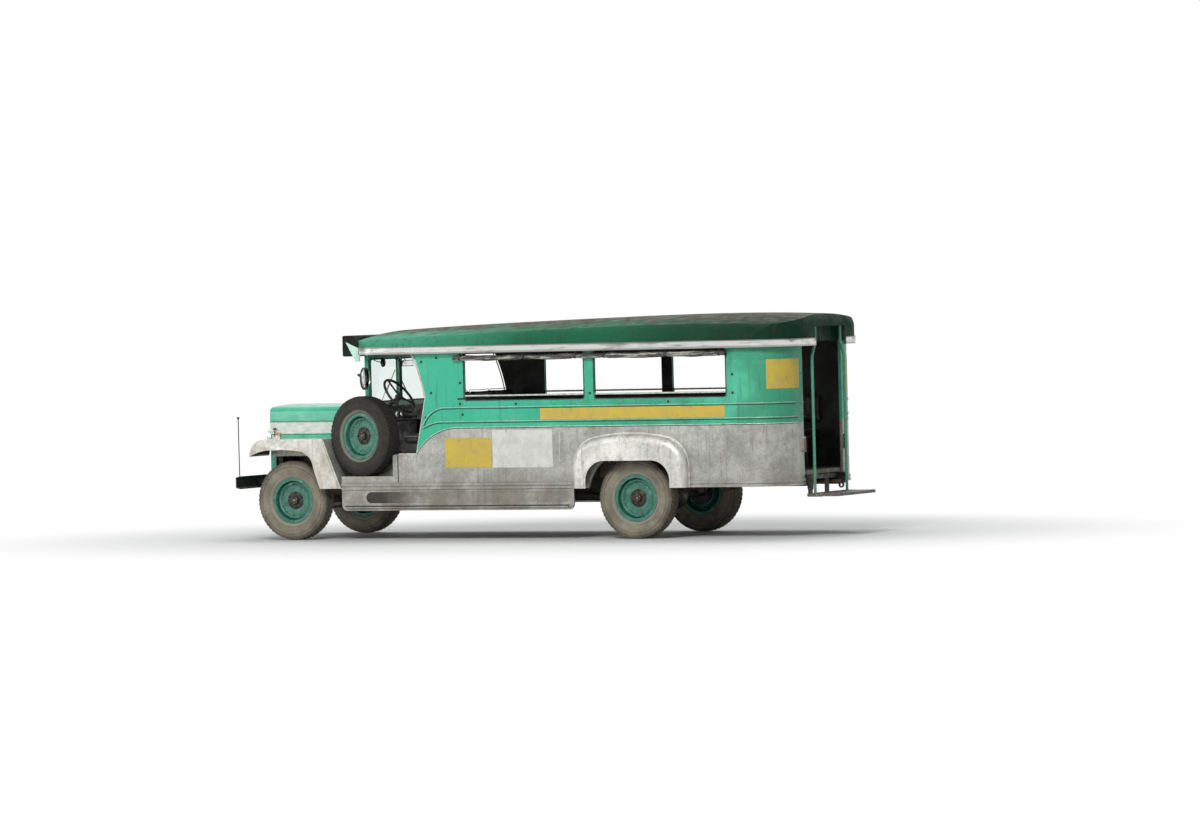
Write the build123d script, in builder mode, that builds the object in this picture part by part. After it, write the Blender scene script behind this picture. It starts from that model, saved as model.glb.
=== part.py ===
from build123d import *
import os
from math import atan2, cos, degrees, radians, sin

# Driving sizes in millimetres. X points forward, Y to the left and Z up.
# The origin is on the ground below the middle of the vehicle.
# A station is a distance behind the front axle.

wheelbase = 3880.0
front_overhang = 650.0
rear_overhang = 2020.0
overall_length = front_overhang + wheelbase + rear_overhang
front_axle_x = overall_length / 2 - front_overhang
rear_axle_x = front_axle_x - wheelbase

# Wheels
tyre_radius = 400.0
tyre_width = 195.0
track = 1450.0
rim_seat_radius = 205.0
rim_flange_radius = 231.0
rim_half_width = 62.0
sheet = 6.0
spindle_radius = 22.0
drum_radius = 142.0
lug_circle = 76.0
lug_count = 6

# Steering
kingpin_inset = 110.0
kingpin_radius = 12.0
boss_radius = 26.0
boss_height = 100.0
steering_arm = 150.0
wheel_rim_radius = 205.0
column_slope = 38.0

# Clearances
running = 0.05
seat = 0.3
moving = 5.0

# Chassis
rail_outer_y = 390.0
rail_width = 60.0
rail_bottom = 490.0
deck_bottom = 600.0
deck_top = 640.0
channel_wall = 8.0

# Body
body_half_width = 880.0
wall = 30.0
body_bottom = 506.0
sill_height = 854.0
belt_height = 1118.0
window_bottom = 1386.0
window_top = 1850.0
wall_top = 1895.0
eave_bottom = 1857.0
trim_height = 75.0
side_end = 5180.0
rear_wall = 5550.0
doorway_half_width = 450.0
corner_radius = rear_wall - side_end

# Roof
roof_front = 780.0
roof_rear = 5660.0
roof_half_width = 950.0
trim_thickness = 12.0
roof_sheet = 35.0

# Nose
hood_front = -420.0
hood_rear = 695.0
hood_half_front = 500.0
hood_half_rear = 560.0
hood_bottom = 1065.0
hood_shoulder = 1275.0
hood_top = 1360.0
fender_top = 1020.0
fender_half_width = 900.0
cowl_rear = 860.0
cowl_half_width = 680.0
windshield = 800.0
windshield_depth = 40.0


def at(station):
    """X of a station."""
    return front_axle_x - station


def side_plane(y):
    """Side view plane at a lateral position. Extruding goes towards the right."""
    return Plane.XZ.offset(-y)


def cross_plane(station):
    """Plane across the vehicle at a station. Extruding goes forward."""
    return Plane.YZ.offset(at(station))


def side_prism(rows, y_inner, y_outer, mode=Mode.ADD):
    """Prism between two lateral positions on a closed outline of (station, height) rows."""
    with BuildSketch(side_plane(y_outer)) as outline:
        with BuildLine():
            Polyline([(at(station), height) for station, height in rows], close=True)
        make_face()
    extrude(outline.sketch, amount=y_outer - y_inner, mode=mode)


def block(front, rear, y_low, y_high, z_low, z_high, mode=Mode.ADD):
    """Straight block between two stations, two lateral positions and two heights."""
    centre = (at((front + rear) / 2), (y_low + y_high) / 2, (z_low + z_high) / 2)
    with Locations(centre):
        Box(rear - front, y_high - y_low, z_high - z_low, mode=mode)


def wheel_plane(centre, outward):
    """Plane through a wheel's axis: its x runs outward along the axis and its y points up."""
    return Plane(origin=centre, x_dir=outward, z_dir=(outward[1], -outward[0], 0))


# Wheels

tread_half = 0.82 * tyre_width / 2
crown_half = 0.64 * tyre_width / 2
shoulder_radius = tyre_radius - 15
crown_edge_radius = tyre_radius - 3
bulge_radius = (rim_flange_radius + shoulder_radius) / 2


def tyre_section(plane):
    """Half section of a tyre, drawn with x along the axle and y along the radius."""
    bead = rim_half_width - running
    seat_radius = rim_seat_radius + running
    with BuildSketch(plane) as section:
        with BuildLine():
            Line((-bead, seat_radius), (bead, seat_radius))
            for side in (1, -1):
                Line((side * bead, seat_radius), (side * bead, rim_flange_radius))
                ThreePointArc(
                    (side * bead, rim_flange_radius),
                    (side * tyre_width / 2, bulge_radius),
                    (side * tread_half, shoulder_radius),
                )
                ThreePointArc(
                    (side * tread_half, shoulder_radius),
                    (side * (tread_half - 5), shoulder_radius + 8),
                    (side * crown_half, crown_edge_radius),
                )
            ThreePointArc(
                (-crown_half, crown_edge_radius), (0, tyre_radius), (crown_half, crown_edge_radius)
            )
        make_face()
    return section.sketch


def rim_section(plane, with_drum):
    """Half section of a steel wheel with its hub, drawn as the tyre's."""
    well = rim_seat_radius - sheet
    disc_edge = well - 48
    with BuildSketch(plane) as section:
        with BuildLine():
            Polyline(
                (-rim_half_width - sheet, well),
                (rim_half_width + sheet, well),
                (rim_half_width + sheet, rim_flange_radius),
                (rim_half_width, rim_flange_radius),
                (rim_half_width, rim_seat_radius),
                (-rim_half_width, rim_seat_radius),
                (-rim_half_width, rim_flange_radius),
                (-rim_half_width - sheet, rim_flange_radius),
                close=True,
            )
        make_face()
        # Dished disc with a raised ring near the rim
        with BuildLine():
            Polyline(
                (14, well + 1),
                (34, well - 14),
                (38, well - 27),
                (32, well - 38),
                (16, disc_edge),
                (14, lug_circle + 14),
                (24, lug_circle - 16),
                (24, 40),
                (-4, 40),
                (-4, disc_edge),
                (24, well - 34),
                (29, well - 27),
                (26, well - 19),
                (4, well + 1),
                close=True,
            )
        make_face()
        # Hub and its cap round the spindle's bore
        with BuildLine():
            Polyline(
                (-54, spindle_radius + running),
                (24, spindle_radius + running),
                (24, 0),
                (44, 0),
                (52, 14),
                (52, 30),
                (46, 40),
                (24, 44),
                (24, 52),
                (-54, 52),
                close=True,
            )
        make_face()
        if with_drum:
            with BuildLine():
                Polyline(
                    (-66, drum_radius - 12),
                    (-8, drum_radius - 12),
                    (-8, 50),
                    (-2, 50),
                    (-2, drum_radius),
                    (-66, drum_radius),
                    close=True,
                )
            make_face()
    return section.sketch


def add_tyre(centre, outward):
    """Tyre standing on its wheel's centre."""
    revolve(tyre_section(wheel_plane(centre, outward)), axis=Axis(centre, outward))


def add_rim(centre, outward, with_drum=True):
    """Steel wheel with hub, drum and lugs."""
    revolve(rim_section(wheel_plane(centre, outward), with_drum), axis=Axis(centre, outward))
    face = tuple(c + 12 * n for c, n in zip(centre, outward))
    with BuildSketch(Plane(origin=face, z_dir=outward)) as lugs:
        with PolarLocations(lug_circle, lug_count):
            RegularPolygon(11, 6)
    extrude(lugs.sketch, amount=20)


left_out = (0.0, 1.0, 0.0)
front_wheel = (front_axle_x, track / 2, tyre_radius)
rear_wheel = (rear_axle_x, track / 2, tyre_radius)

with BuildPart() as tyre_front_left:
    add_tyre(front_wheel, left_out)
with BuildPart() as tyre_front_right:
    mirror(tyre_front_left.part, about=Plane.XZ)
with BuildPart() as tyre_rear_left:
    add_tyre(rear_wheel, left_out)
with BuildPart() as tyre_rear_right:
    mirror(tyre_rear_left.part, about=Plane.XZ)

with BuildPart() as rim_front_left:
    add_rim(front_wheel, left_out)
with BuildPart() as rim_front_right:
    mirror(rim_front_left.part, about=Plane.XZ)
with BuildPart() as rim_rear_left:
    add_rim(rear_wheel, left_out)
with BuildPart() as rim_rear_right:
    mirror(rim_rear_left.part, about=Plane.XZ)

# Steering knuckles: a fork round the axle's boss, a backing plate and the wheel's spindle

kingpin_y = track / 2 - kingpin_inset
backing_y = track / 2 - 68
backing_radius = drum_radius - 12 - moving - 3
ear_gap = boss_height / 2 + 1
ear_height = 18.0
web_inner = kingpin_y + boss_radius + moving
arm_level = tyre_radius - ear_gap - ear_height
rod_radius = 13.0
ball_radius = 9.0

with BuildPart() as knuckle_left:
    for low in (tyre_radius + ear_gap, arm_level):
        with BuildSketch(Plane.XY.offset(low)):
            with Locations((front_axle_x, kingpin_y)):
                Circle(boss_radius)
            with Locations((front_axle_x, (kingpin_y + backing_y) / 2)):
                Rectangle(2 * boss_radius, backing_y - kingpin_y)
        extrude(amount=ear_height)
    with Locations((front_axle_x, (web_inner + backing_y) / 2, tyre_radius)):
        Box(2 * boss_radius, backing_y - web_inner, 2 * (ear_gap + ear_height))
    with Locations((front_axle_x, kingpin_y, tyre_radius)):
        Cylinder(kingpin_radius, 2 * (ear_gap + ear_height))
    # Backing plate and spindle
    with BuildSketch(side_plane(backing_y)):
        with Locations((front_axle_x, tyre_radius)):
            Circle(backing_radius)
    extrude(amount=-sheet)
    with BuildSketch(side_plane(backing_y)):
        with Locations((front_axle_x, tyre_radius)):
            Circle(spindle_radius)
    extrude(amount=backing_y - track / 2 - 20)
    # Steering arm with the ball's hole
    with BuildSketch(Plane.XY.offset(arm_level)):
        with Locations((front_axle_x - steering_arm / 2, kingpin_y)):
            SlotCenterToCenter(steering_arm, 36)
        with Locations((front_axle_x - steering_arm, kingpin_y)):
            Circle(ball_radius + running, mode=Mode.SUBTRACT)
    extrude(amount=ear_height)

with BuildPart() as knuckle_right:
    mirror(knuckle_left.part, about=Plane.XZ)

rod_z = arm_level - rod_radius - 8
with BuildPart() as tie_rod:
    with BuildSketch(Plane.XZ.offset(-kingpin_y)):
        with Locations((front_axle_x - steering_arm, rod_z)):
            Circle(rod_radius)
    extrude(amount=2 * kingpin_y)
    for side in (1, -1):
        with BuildSketch(Plane.XY.offset(rod_z - rod_radius)):
            with Locations((front_axle_x - steering_arm, side * kingpin_y)):
                Circle(20)
        extrude(amount=arm_level - seat - rod_z + rod_radius)
        with BuildSketch(Plane.XY.offset(rod_z)):
            with Locations((front_axle_x - steering_arm, side * kingpin_y)):
                Circle(ball_radius)
        extrude(amount=arm_level + ear_height + 3 - rod_z)

# Front axle: a dropped beam with a bored boss at each end

beam_half_depth = 28.0
spring_seat = tyre_radius + 5
beam_end = kingpin_y - boss_radius + 6
with BuildPart() as front_axle:
    with BuildSketch(Plane.YZ.offset(front_axle_x - beam_half_depth)):
        with BuildLine():
            Polyline(
                (0, spring_seat),
                (460, spring_seat),
                (550, tyre_radius + 32),
                (beam_end, tyre_radius + 32),
                (beam_end, tyre_radius - 32),
                (560, tyre_radius - 32),
                (470, tyre_radius - 55),
                (0, tyre_radius - 55),
                close=True,
            )
        make_face()
        mirror(about=Plane.YZ)
    extrude(amount=2 * beam_half_depth)
    for side in (1, -1):
        with Locations((front_axle_x, side * kingpin_y, tyre_radius)):
            Cylinder(boss_radius, boss_height)
            Cylinder(kingpin_radius + running, boss_height, mode=Mode.SUBTRACT)
    # Web pockets of the beam
    for x_face in (-beam_half_depth, beam_half_depth):
        with Locations((front_axle_x + x_face, 0, tyre_radius - 25)):
            Box(24, 880, 34, mode=Mode.SUBTRACT)

# Rear axle: tube, differential, backing plates and spindles, with the drive shaft

gearbox_rear = 1120.0
pinion_length = 250.0

with BuildPart() as rear_axle:
    with BuildSketch(wheel_plane((rear_axle_x, 0, tyre_radius), left_out)):
        with BuildLine():
            Polyline(
                (0, 0),
                (track / 2 + 20, 0),
                (track / 2 + 20, spindle_radius),
                (backing_y + sheet, spindle_radius),
                (backing_y + sheet, backing_radius),
                (backing_y, backing_radius),
                (backing_y, 45),
                (190, 45),
                (120, 120),
                (60, 150),
                (0, 155),
                close=True,
            )
        make_face()
        mirror(about=Plane.YZ)
    revolve(axis=Axis((rear_axle_x, 0, tyre_radius), left_out))
    with BuildSketch(Plane.YZ.offset(rear_axle_x)):
        with Locations((0, tyre_radius)):
            Circle(70)
    extrude(amount=pinion_length, taper=4)
    with BuildSketch(cross_plane(wheelbase - pinion_length)):
        with Locations((0, tyre_radius)):
            Circle(35)
    extrude(amount=wheelbase - pinion_length - gearbox_rear)

# Leaf springs on the axles: each leaf of a stack is shorter than the one above

spring_y = rail_outer_y - rail_width / 2
leaf_width = 44.0
eye_radius = 12.0
leaf_rows = (
    # half length, thickness
    (510, 10),
    (440, 9),
    (320, 9),
    (200, 9),
)


with BuildPart() as leaf_springs:
    for axle_x, seat_z in ((front_axle_x, spring_seat), (rear_axle_x, tyre_radius + 45)):
        for y in (spring_y, -spring_y):
            height = seat_z
            for half_length, thickness in reversed(leaf_rows):
                with Locations((axle_x, y, height + thickness / 2)):
                    Box(2 * half_length, leaf_width, thickness)
                height += thickness
            for end in (1, -1):
                with BuildSketch(side_plane(y + leaf_width / 2)):
                    with Locations((axle_x + end * leaf_rows[0][0], height - leaf_rows[0][1] / 2)):
                        Circle(eye_radius)
                extrude(amount=leaf_width)

# Chassis: two channel rails, cross members between them and outriggers to the body sides

rail_front = -front_overhang + 50
rail_rear = 5595.0
rail_inner_y = rail_outer_y - rail_width
cross_member_stations = (-480, 640, 1850, 3050, 4800, 5500)
outrigger_stations = (900, 1900, 3050, 4750, 5100)
tow_eye_radius = 14.0
tow_eye_thickness = 20.0
tow_eye_height = rail_bottom - 20

with BuildPart() as chassis_rails:
    for side in (1, -1):
        with BuildSketch(cross_plane(rail_rear)):
            with BuildLine():
                Polyline(
                    (side * rail_outer_y, rail_bottom),
                    (side * rail_inner_y, rail_bottom),
                    (side * rail_inner_y, rail_bottom + channel_wall),
                    (side * (rail_outer_y - channel_wall), rail_bottom + channel_wall),
                    (side * (rail_outer_y - channel_wall), deck_bottom - channel_wall),
                    (side * rail_inner_y, deck_bottom - channel_wall),
                    (side * rail_inner_y, deck_bottom),
                    (side * rail_outer_y, deck_bottom),
                    close=True,
                )
            make_face()
        extrude(amount=rail_rear - rail_front)
    # Spring hangers below the rails
    for axle_x in (front_axle_x, rear_axle_x):
        for end in (1, -1):
            for side in (1, -1):
                for y in (rail_outer_y - channel_wall / 2, rail_inner_y + channel_wall / 2):
                    with Locations((axle_x + end * leaf_rows[0][0], side * y, rail_bottom - 28)):
                        Box(60, channel_wall, 56)
    # Tow eyes below the rails' ends
    for station in (rail_front + 30, rail_rear - 30):
        for side in (1, -1):
            with BuildSketch(side_plane(side * spring_y + tow_eye_thickness / 2)):
                with Locations((at(station), tow_eye_height)):
                    Rectangle(56, 44, align=(Align.CENTER, Align.MIN))
                    Circle(28)
                    Circle(tow_eye_radius, mode=Mode.SUBTRACT)
            extrude(amount=tow_eye_thickness)

with BuildPart() as chassis_cross_members:
    for station in cross_member_stations:
        block(station - 30, station + 30, -rail_outer_y + channel_wall, rail_outer_y - channel_wall,
              deck_bottom - 50, deck_bottom - channel_wall)
    for station in outrigger_stations:
        for side in (1, -1):
            y_low, y_high = sorted((side * rail_outer_y, side * (body_half_width - wall)))
            block(station - 25, station + 25, y_low, y_high, deck_bottom - 60, deck_bottom)

# Engine and gearbox as one plain block, with a stub for the exhaust

engine_half_width = 220.0
pipe_radius = 22.0
pipe_y = -engine_half_width - 2 * pipe_radius

with BuildPart() as engine_block:
    block(-250, 560, -engine_half_width, engine_half_width, deck_bottom - 50, 1130)
    block(560, gearbox_rear, -120, 120, tyre_radius - 80, deck_bottom - 60)
    block(500, 560, -120, 120, tyre_radius - 80, deck_bottom)
    block(50, 450, pipe_y - pipe_radius, -engine_half_width, 800, 880)

with BuildPart() as exhaust:
    with BuildLine() as exhaust_path:
        FilletPolyline(
            (at(400), pipe_y, 800),
            (at(400), pipe_y, 505),
            (at(5600), pipe_y, 505),
            radius=90,
        )
    with BuildSketch(Plane(origin=exhaust_path.line @ 0, z_dir=exhaust_path.line % 0)):
        Circle(pipe_radius)
    sweep(path=exhaust_path.line)
    with BuildSketch(cross_plane(2800)):
        with Locations((pipe_y, 480)):
            Circle(58)
    extrude(amount=650)

with BuildPart() as fuel_tank:
    block(2100, 2850, -790, -rail_outer_y - 20, 330, deck_bottom)
    fillet(fuel_tank.edges().filter_by(Axis.X), 30)

# Bumper with guide poles and their knobs

bumper_half_width = 820.0
bumper_low = 520.0
bumper_high = 650.0
pole_y = bumper_half_width - 20
pole_top = 1240.0

with BuildPart() as front_bumper:
    side_prism(
        (
            (rail_front, bumper_low),
            (-front_overhang, bumper_low + 12),
            (-front_overhang, bumper_high - 12),
            (rail_front, bumper_high),
            (rail_front, bumper_high - channel_wall),
            (-front_overhang + channel_wall, bumper_high - 18),
            (-front_overhang + channel_wall, bumper_low + 18),
            (rail_front, bumper_low + channel_wall),
        ),
        -bumper_half_width,
        bumper_half_width,
    )
    for side in (1, -1):
        block(-front_overhang + channel_wall, rail_front, side * spring_y - 30, side * spring_y + 30,
              bumper_low + channel_wall, deck_bottom)
        with Locations((at(rail_front - 14), side * pole_y, (bumper_high - channel_wall + pole_top) / 2)):
            Cylinder(5, pole_top - bumper_high + channel_wall)
        with Locations((at(rail_front - 14), side * pole_y, pole_top)):
            Sphere(13)

# Front fenders: flat top, blunt tip and slanted rear edge with raised beads

fender_inner_y = 500.0
fender_tip = (-440.0, 850.0)
fender_nose = -290.0
fender_back = 420.0
fender_foot = 620.0
arch_foot = 375.0
bead = 7.0

with BuildPart() as front_fenders:
    # Side apron with the wheel arch
    with BuildSketch(side_plane(fender_half_width)):
        with BuildLine():
            Line((at(fender_foot), body_bottom + 14), (at(fender_back), fender_top))
            Line((at(fender_back), fender_top), (at(fender_nose), fender_top))
            ThreePointArc(
                (at(fender_nose), fender_top),
                (at(fender_nose - 110), fender_top - 65),
                (at(fender_tip[0]), fender_tip[1]),
            )
            ThreePointArc((at(fender_tip[0]), fender_tip[1]), (at(-290), 902), (at(-120), 912))
            ThreePointArc((at(-120), 912), (at(0), 914), (at(120), 900))
            ThreePointArc((at(120), 900), (at(255), 840), (at(arch_foot - 70), 720))
            Line((at(arch_foot - 70), 720), (at(arch_foot), body_bottom + 14))
            Line((at(arch_foot), body_bottom + 14), (at(fender_foot), body_bottom + 14))
        make_face()
    extrude(amount=sheet)
    # Top skin from the tip over the top to the foot
    with BuildSketch(side_plane(fender_half_width - sheet)):
        with BuildLine():
            Line((at(fender_foot), body_bottom + 14), (at(fender_back), fender_top))
            Line((at(fender_back), fender_top), (at(fender_nose), fender_top))
            ThreePointArc(
                (at(fender_nose), fender_top),
                (at(fender_nose - 110), fender_top - 65),
                (at(fender_tip[0]), fender_tip[1]),
            )
            Line((at(fender_tip[0]), fender_tip[1]), (at(fender_tip[0] + sheet), fender_tip[1]))
            ThreePointArc(
                (at(fender_tip[0] + sheet), fender_tip[1]),
                (at(fender_nose - 106), fender_top - 71),
                (at(fender_nose), fender_top - sheet),
            )
            Line((at(fender_nose), fender_top - sheet), (at(fender_back - 4), fender_top - sheet))
            Line((at(fender_back - 4), fender_top - sheet), (at(fender_foot - sheet), body_bottom + 14))
            Line((at(fender_foot - sheet), body_bottom + 14), (at(fender_foot), body_bottom + 14))
        make_face()
    extrude(amount=fender_half_width - sheet - fender_inner_y)
    # Raised beads along the top edge and the slanted edge
    side_prism(
        (
            (fender_nose, fender_top - 8),
            (fender_back - 8, fender_top - 8),
            (fender_foot - 30, body_bottom + 24),
            (fender_foot - 44, body_bottom + 24),
            (fender_back - 20, fender_top - 24),
            (fender_nose, fender_top - 24),
        ),
        fender_half_width,
        fender_half_width + bead,
    )
    # Inner apron between the fender and the hood's side
    with BuildSketch(Plane.XY.offset(840)):
        with BuildLine():
            Polyline(
                (at(-400), hood_half_front - sheet),
                (at(hood_rear + moving), hood_half_rear - sheet),
                (at(hood_rear + moving), hood_half_rear - 2 * sheet),
                (at(-400), hood_half_front - 2 * sheet),
                close=True,
            )
        make_face()
    extrude(amount=hood_bottom - moving - 840)
    # Filler between the flared apron and the fender's inner edge
    with BuildSketch(Plane.XY.offset(fender_top - sheet)):
        with BuildLine():
            Polyline(
                (at(-290), hood_half_front - 2 * sheet),
                (at(fender_back - 4), hood_half_front + 20),
                (at(fender_back - 4), hood_half_front + 60),
                (at(-290), hood_half_front + 60),
                close=True,
            )
        make_face()
    extrude(amount=sheet)
    mirror(about=Plane.XZ)

# Hood, hinged on the cowl, open below and at its ends


def hood_outline(station, half_width, inset, bottom):
    """Arched outline of the hood, the cowl and the grille shell, moved inwards by an inset."""
    side = half_width - inset
    top = hood_top - inset
    with BuildSketch(cross_plane(station)) as outline:
        with BuildLine():
            Line((side, bottom), (side - 8, hood_shoulder))
            ThreePointArc((side - 8, hood_shoulder), (side - 25, top - 42), (side - 70, top - 22))
            ThreePointArc((side - 70, top - 22), (0, top), (-side + 70, top - 22))
            ThreePointArc((-side + 70, top - 22), (-side + 25, top - 42), (-side + 8, hood_shoulder))
            Line((-side + 8, hood_shoulder), (-side, bottom))
            Line((-side, bottom), (side, bottom))
        make_face()
    return outline.sketch


hinge_z = hood_top + 6
hinge_x = at(hood_rear + moving / 2)
hinge_pin = 5.0
hinge_y = 350.0

with BuildPart() as hood:
    loft([
        hood_outline(hood_front, hood_half_front, 0, hood_bottom),
        hood_outline(hood_rear, hood_half_rear, 0, hood_bottom),
    ])
    loft([
        hood_outline(hood_front - 1, hood_half_front, sheet, hood_bottom - 1),
        hood_outline(hood_rear + 1, hood_half_rear, sheet, hood_bottom - 1),
    ], mode=Mode.SUBTRACT)
    # Side catches at the front
    for side in (1, -1):
        with Locations((at(hood_front + 70), side * (hood_half_front + 8), hood_bottom + 26)):
            Box(30, 14, 44)
        # Hinge barrels at the rear
        with Locations((hinge_x + 20, side * hinge_y, hinge_z - 11)):
            Box(40, 26, 16)
        with BuildSketch(side_plane(side * hinge_y + 13)):
            with Locations((hinge_x, hinge_z)):
                Circle(9)
        extrude(amount=26)
        with BuildSketch(side_plane(side * hinge_y + 14)):
            with Locations((hinge_x, hinge_z)):
                Circle(hinge_pin + running)
        extrude(amount=28, mode=Mode.SUBTRACT)

with BuildPart() as grille:
    extrude(hood_outline(hood_front + 55, hood_half_front, sheet + moving + 2, deck_bottom), amount=60)
    with BuildSketch(cross_plane(hood_front + 56)):
        for row in range(6):
            with Locations((0, 790 + 72 * row)):
                SlotOverall(520, 40)
    extrude(amount=62, mode=Mode.SUBTRACT)

radiator_front = hood_front + 75
with BuildPart() as radiator:
    block(radiator_front, radiator_front + 60, -345, 345, deck_bottom, 1240)
    for side in (1, -1):
        y_low, y_high = sorted((side * 345, side * (hood_half_front - 45)))
        block(hood_front + 55, radiator_front + 40, y_low, y_high, 700, 1150)
    # Recessed core with its tanks above and below
    for face in (radiator_front - 1, radiator_front + 55):
        block(face, face + 6, -300, 300, 690, 1170, mode=Mode.SUBTRACT)
    with Locations((at(radiator_front + 30), 0, 1240)):
        Cylinder(28, 40)

# Axis of the steering column

wheel_y = 360.0
wheel_centre = (at(1020), wheel_y, 1430.0)
column_down = (cos(radians(column_slope)), 0.0, -sin(radians(column_slope)))
column_length = 900.0
column_radius = 20.0


def along_column(distance):
    """Plane across the steering column at a distance below the wheel's centre."""
    spot = tuple(c + distance * d for c, d in zip(wheel_centre, column_down))
    return Plane(origin=spot, z_dir=column_down)


# Cowl with firewall, flaring from the hood to the windshield

with BuildPart() as cowl:
    loft([
        hood_outline(cowl_rear, cowl_half_width, 0, deck_top),
        hood_outline(hood_rear + moving, hood_half_rear, 0, deck_top),
    ])
    loft([
        hood_outline(cowl_rear + 1, cowl_half_width, sheet, deck_top - 1),
        hood_outline(hood_rear + moving + 2 * sheet, hood_half_rear, sheet, deck_top - 1),
    ], mode=Mode.SUBTRACT)
    block(windshield - 6, cowl_rear + 5, -cowl_half_width, cowl_half_width, hood_top - 30, hood_top + 5,
          mode=Mode.SUBTRACT)
    block(windshield - 20, cowl_rear, -cowl_half_width + 60, cowl_half_width - 60,
          hood_top - 36, hood_top - 30)
    # Hole of the steering column in the firewall
    with BuildSketch(along_column(120)):
        Circle(column_radius + seat)
    extrude(amount=400, mode=Mode.SUBTRACT)
    # Hinge leaves and pins of the hood
    for side in (1, -1):
        for y in (hinge_y - 24, hinge_y + 24):
            with Locations((hinge_x - 22, side * y, hinge_z - 11)):
                Box(44, 20, 16)
            with BuildSketch(side_plane(side * y + 10)):
                with Locations((hinge_x, hinge_z)):
                    Circle(9)
            extrude(amount=20)
        with BuildSketch(side_plane(side * hinge_y + 30)):
            with Locations((hinge_x, hinge_z)):
                Circle(hinge_pin)
        extrude(amount=60)

windshield_foot = hood_top - 30
post = 50.0
with BuildPart() as windshield_frame:
    with BuildSketch(cross_plane(windshield + windshield_depth)):
        with Locations((0, (windshield_foot + eave_bottom) / 2)):
            Rectangle(2 * cowl_half_width - 20, eave_bottom - windshield_foot)
        for side in (1, -1):
            with Locations((side * (cowl_half_width - 10 - post + 15) / 2,
                            (windshield_foot + eave_bottom) / 2)):
                RectangleRounded(
                    cowl_half_width - 10 - post - 15, eave_bottom - windshield_foot - 2 * post, 30,
                    mode=Mode.SUBTRACT)
    extrude(amount=windshield_depth)

with BuildPart() as windshield_glass:
    for side in (1, -1):
        with BuildSketch(cross_plane(windshield + windshield_depth / 2)):
            with Locations((side * (cowl_half_width - 10 - post + 15) / 2,
                            (windshield_foot + eave_bottom) / 2)):
                RectangleRounded(
                    cowl_half_width - 10 - post - 15 - 2 * seat,
                    eave_bottom - windshield_foot - 2 * post - 2 * seat, 30)
        extrude(amount=sheet)

# Floor deck with the wheel wells

well_front = wheelbase - 500
well_rear = wheelbase + 500
well_inner_y = 580.0
well_top = 930.0

with BuildPart() as floor_deck:
    block(hood_rear + moving, rear_wall - wall, -body_half_width + wall, body_half_width - wall,
          deck_bottom, deck_top)
    for side in (1, -1):
        y_low, y_high = sorted((side * well_inner_y, side * (body_half_width - wall)))
        block(well_front, well_rear, y_low, y_high, deck_bottom - 1, well_top)
        y_low, y_high = sorted((side * (well_inner_y + sheet), side * (body_half_width - wall + 1)))
        block(well_front + sheet, well_rear - sheet, y_low, y_high, deck_bottom - 2, well_top - sheet,
              mode=Mode.SUBTRACT)
    fillet(floor_deck.edges().filter_by(Axis.Z).group_by(Axis.X)[0], corner_radius - wall)

# Body sides: a wall strip that runs along the side and round the rear corner to the doorway

corner_y = body_half_width - corner_radius
toe_left = 1262.0
toe_right = cowl_rear
sill_front = fender_foot
belt_start = (1490.0, 868.0)
belt_run = 1.84 * (belt_height - belt_start[1])
belt_flat = belt_start[0] + belt_run
door_top = 1465.0
door_bulge = (1605.0, 1430.0)
window_stations = ((2040.0, 3380.0), (3490.0, 4930.0))
arch_radius = tyre_radius + 85


def plan_strip(height, front, outer, inner):
    """Plan of a strip between two lateral positions, from a front station round the rear corner."""
    outer_radius = corner_radius + outer - body_half_width
    inner_radius = corner_radius + inner - body_half_width
    centre_x = at(side_end)
    with BuildSketch(Plane.XY.offset(height)) as strip:
        with BuildLine():
            Line((at(front), outer), (centre_x, outer))
            CenterArc((centre_x, corner_y), outer_radius, 90, 90)
            Line((centre_x - outer_radius, corner_y), (centre_x - outer_radius, doorway_half_width))
            Line((centre_x - outer_radius, doorway_half_width), (centre_x - inner_radius, doorway_half_width))
            Line((centre_x - inner_radius, doorway_half_width), (centre_x - inner_radius, corner_y))
            CenterArc((centre_x, corner_y), inner_radius, 180, -90)
            Line((centre_x, inner), (at(front), inner))
            Line((at(front), inner), (at(front), outer))
        make_face()
    return strip.sketch


def lower_wall(toe):
    """Left lower side, whose full height starts at a toe station."""
    with BuildPart() as side:
        extrude(plan_strip(body_bottom, sill_front, body_half_width, body_half_width - wall),
                amount=belt_height - body_bottom)
        # Cut above the sill and the curved front of the belt line
        with BuildSketch(side_plane(body_half_width + 20)) as above:
            with BuildLine():
                Polyline(
                    (at(belt_flat), belt_height),
                    (at(belt_flat), belt_height + 20),
                    (at(sill_front - 20), belt_height + 20),
                    (at(sill_front - 20), deck_top),
                    (at(toe), deck_top),
                    (at(toe), sill_height),
                    (at(belt_start[0]), sill_height),
                    (at(belt_start[0]), belt_start[1]),
                )
                TangentArc((at(belt_flat), belt_height), (at(belt_start[0]), belt_start[1]), tangent=(1, 0))
            make_face()
        extrude(above.sketch, amount=wall + 60, mode=Mode.SUBTRACT)
        # Wheel opening
        with BuildSketch(side_plane(body_half_width + 20)) as opening:
            with Locations((rear_axle_x, tyre_radius)):
                Circle(arch_radius)
        extrude(opening.sketch, amount=wall + 60, mode=Mode.SUBTRACT)
        # Two half round flange rails along the bottom
        for low in (body_bottom, body_bottom + 36):
            extrude(plan_strip(low, sill_front, body_half_width + 12, body_half_width), amount=24)
        with BuildSketch(side_plane(body_half_width + 20)) as gap:
            with Locations((rear_axle_x, tyre_radius)):
                Rectangle(2 * fender_reach, 800)
        extrude(gap.sketch, amount=20, mode=Mode.SUBTRACT)
    return side.part


fender_reach = 640.0

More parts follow.
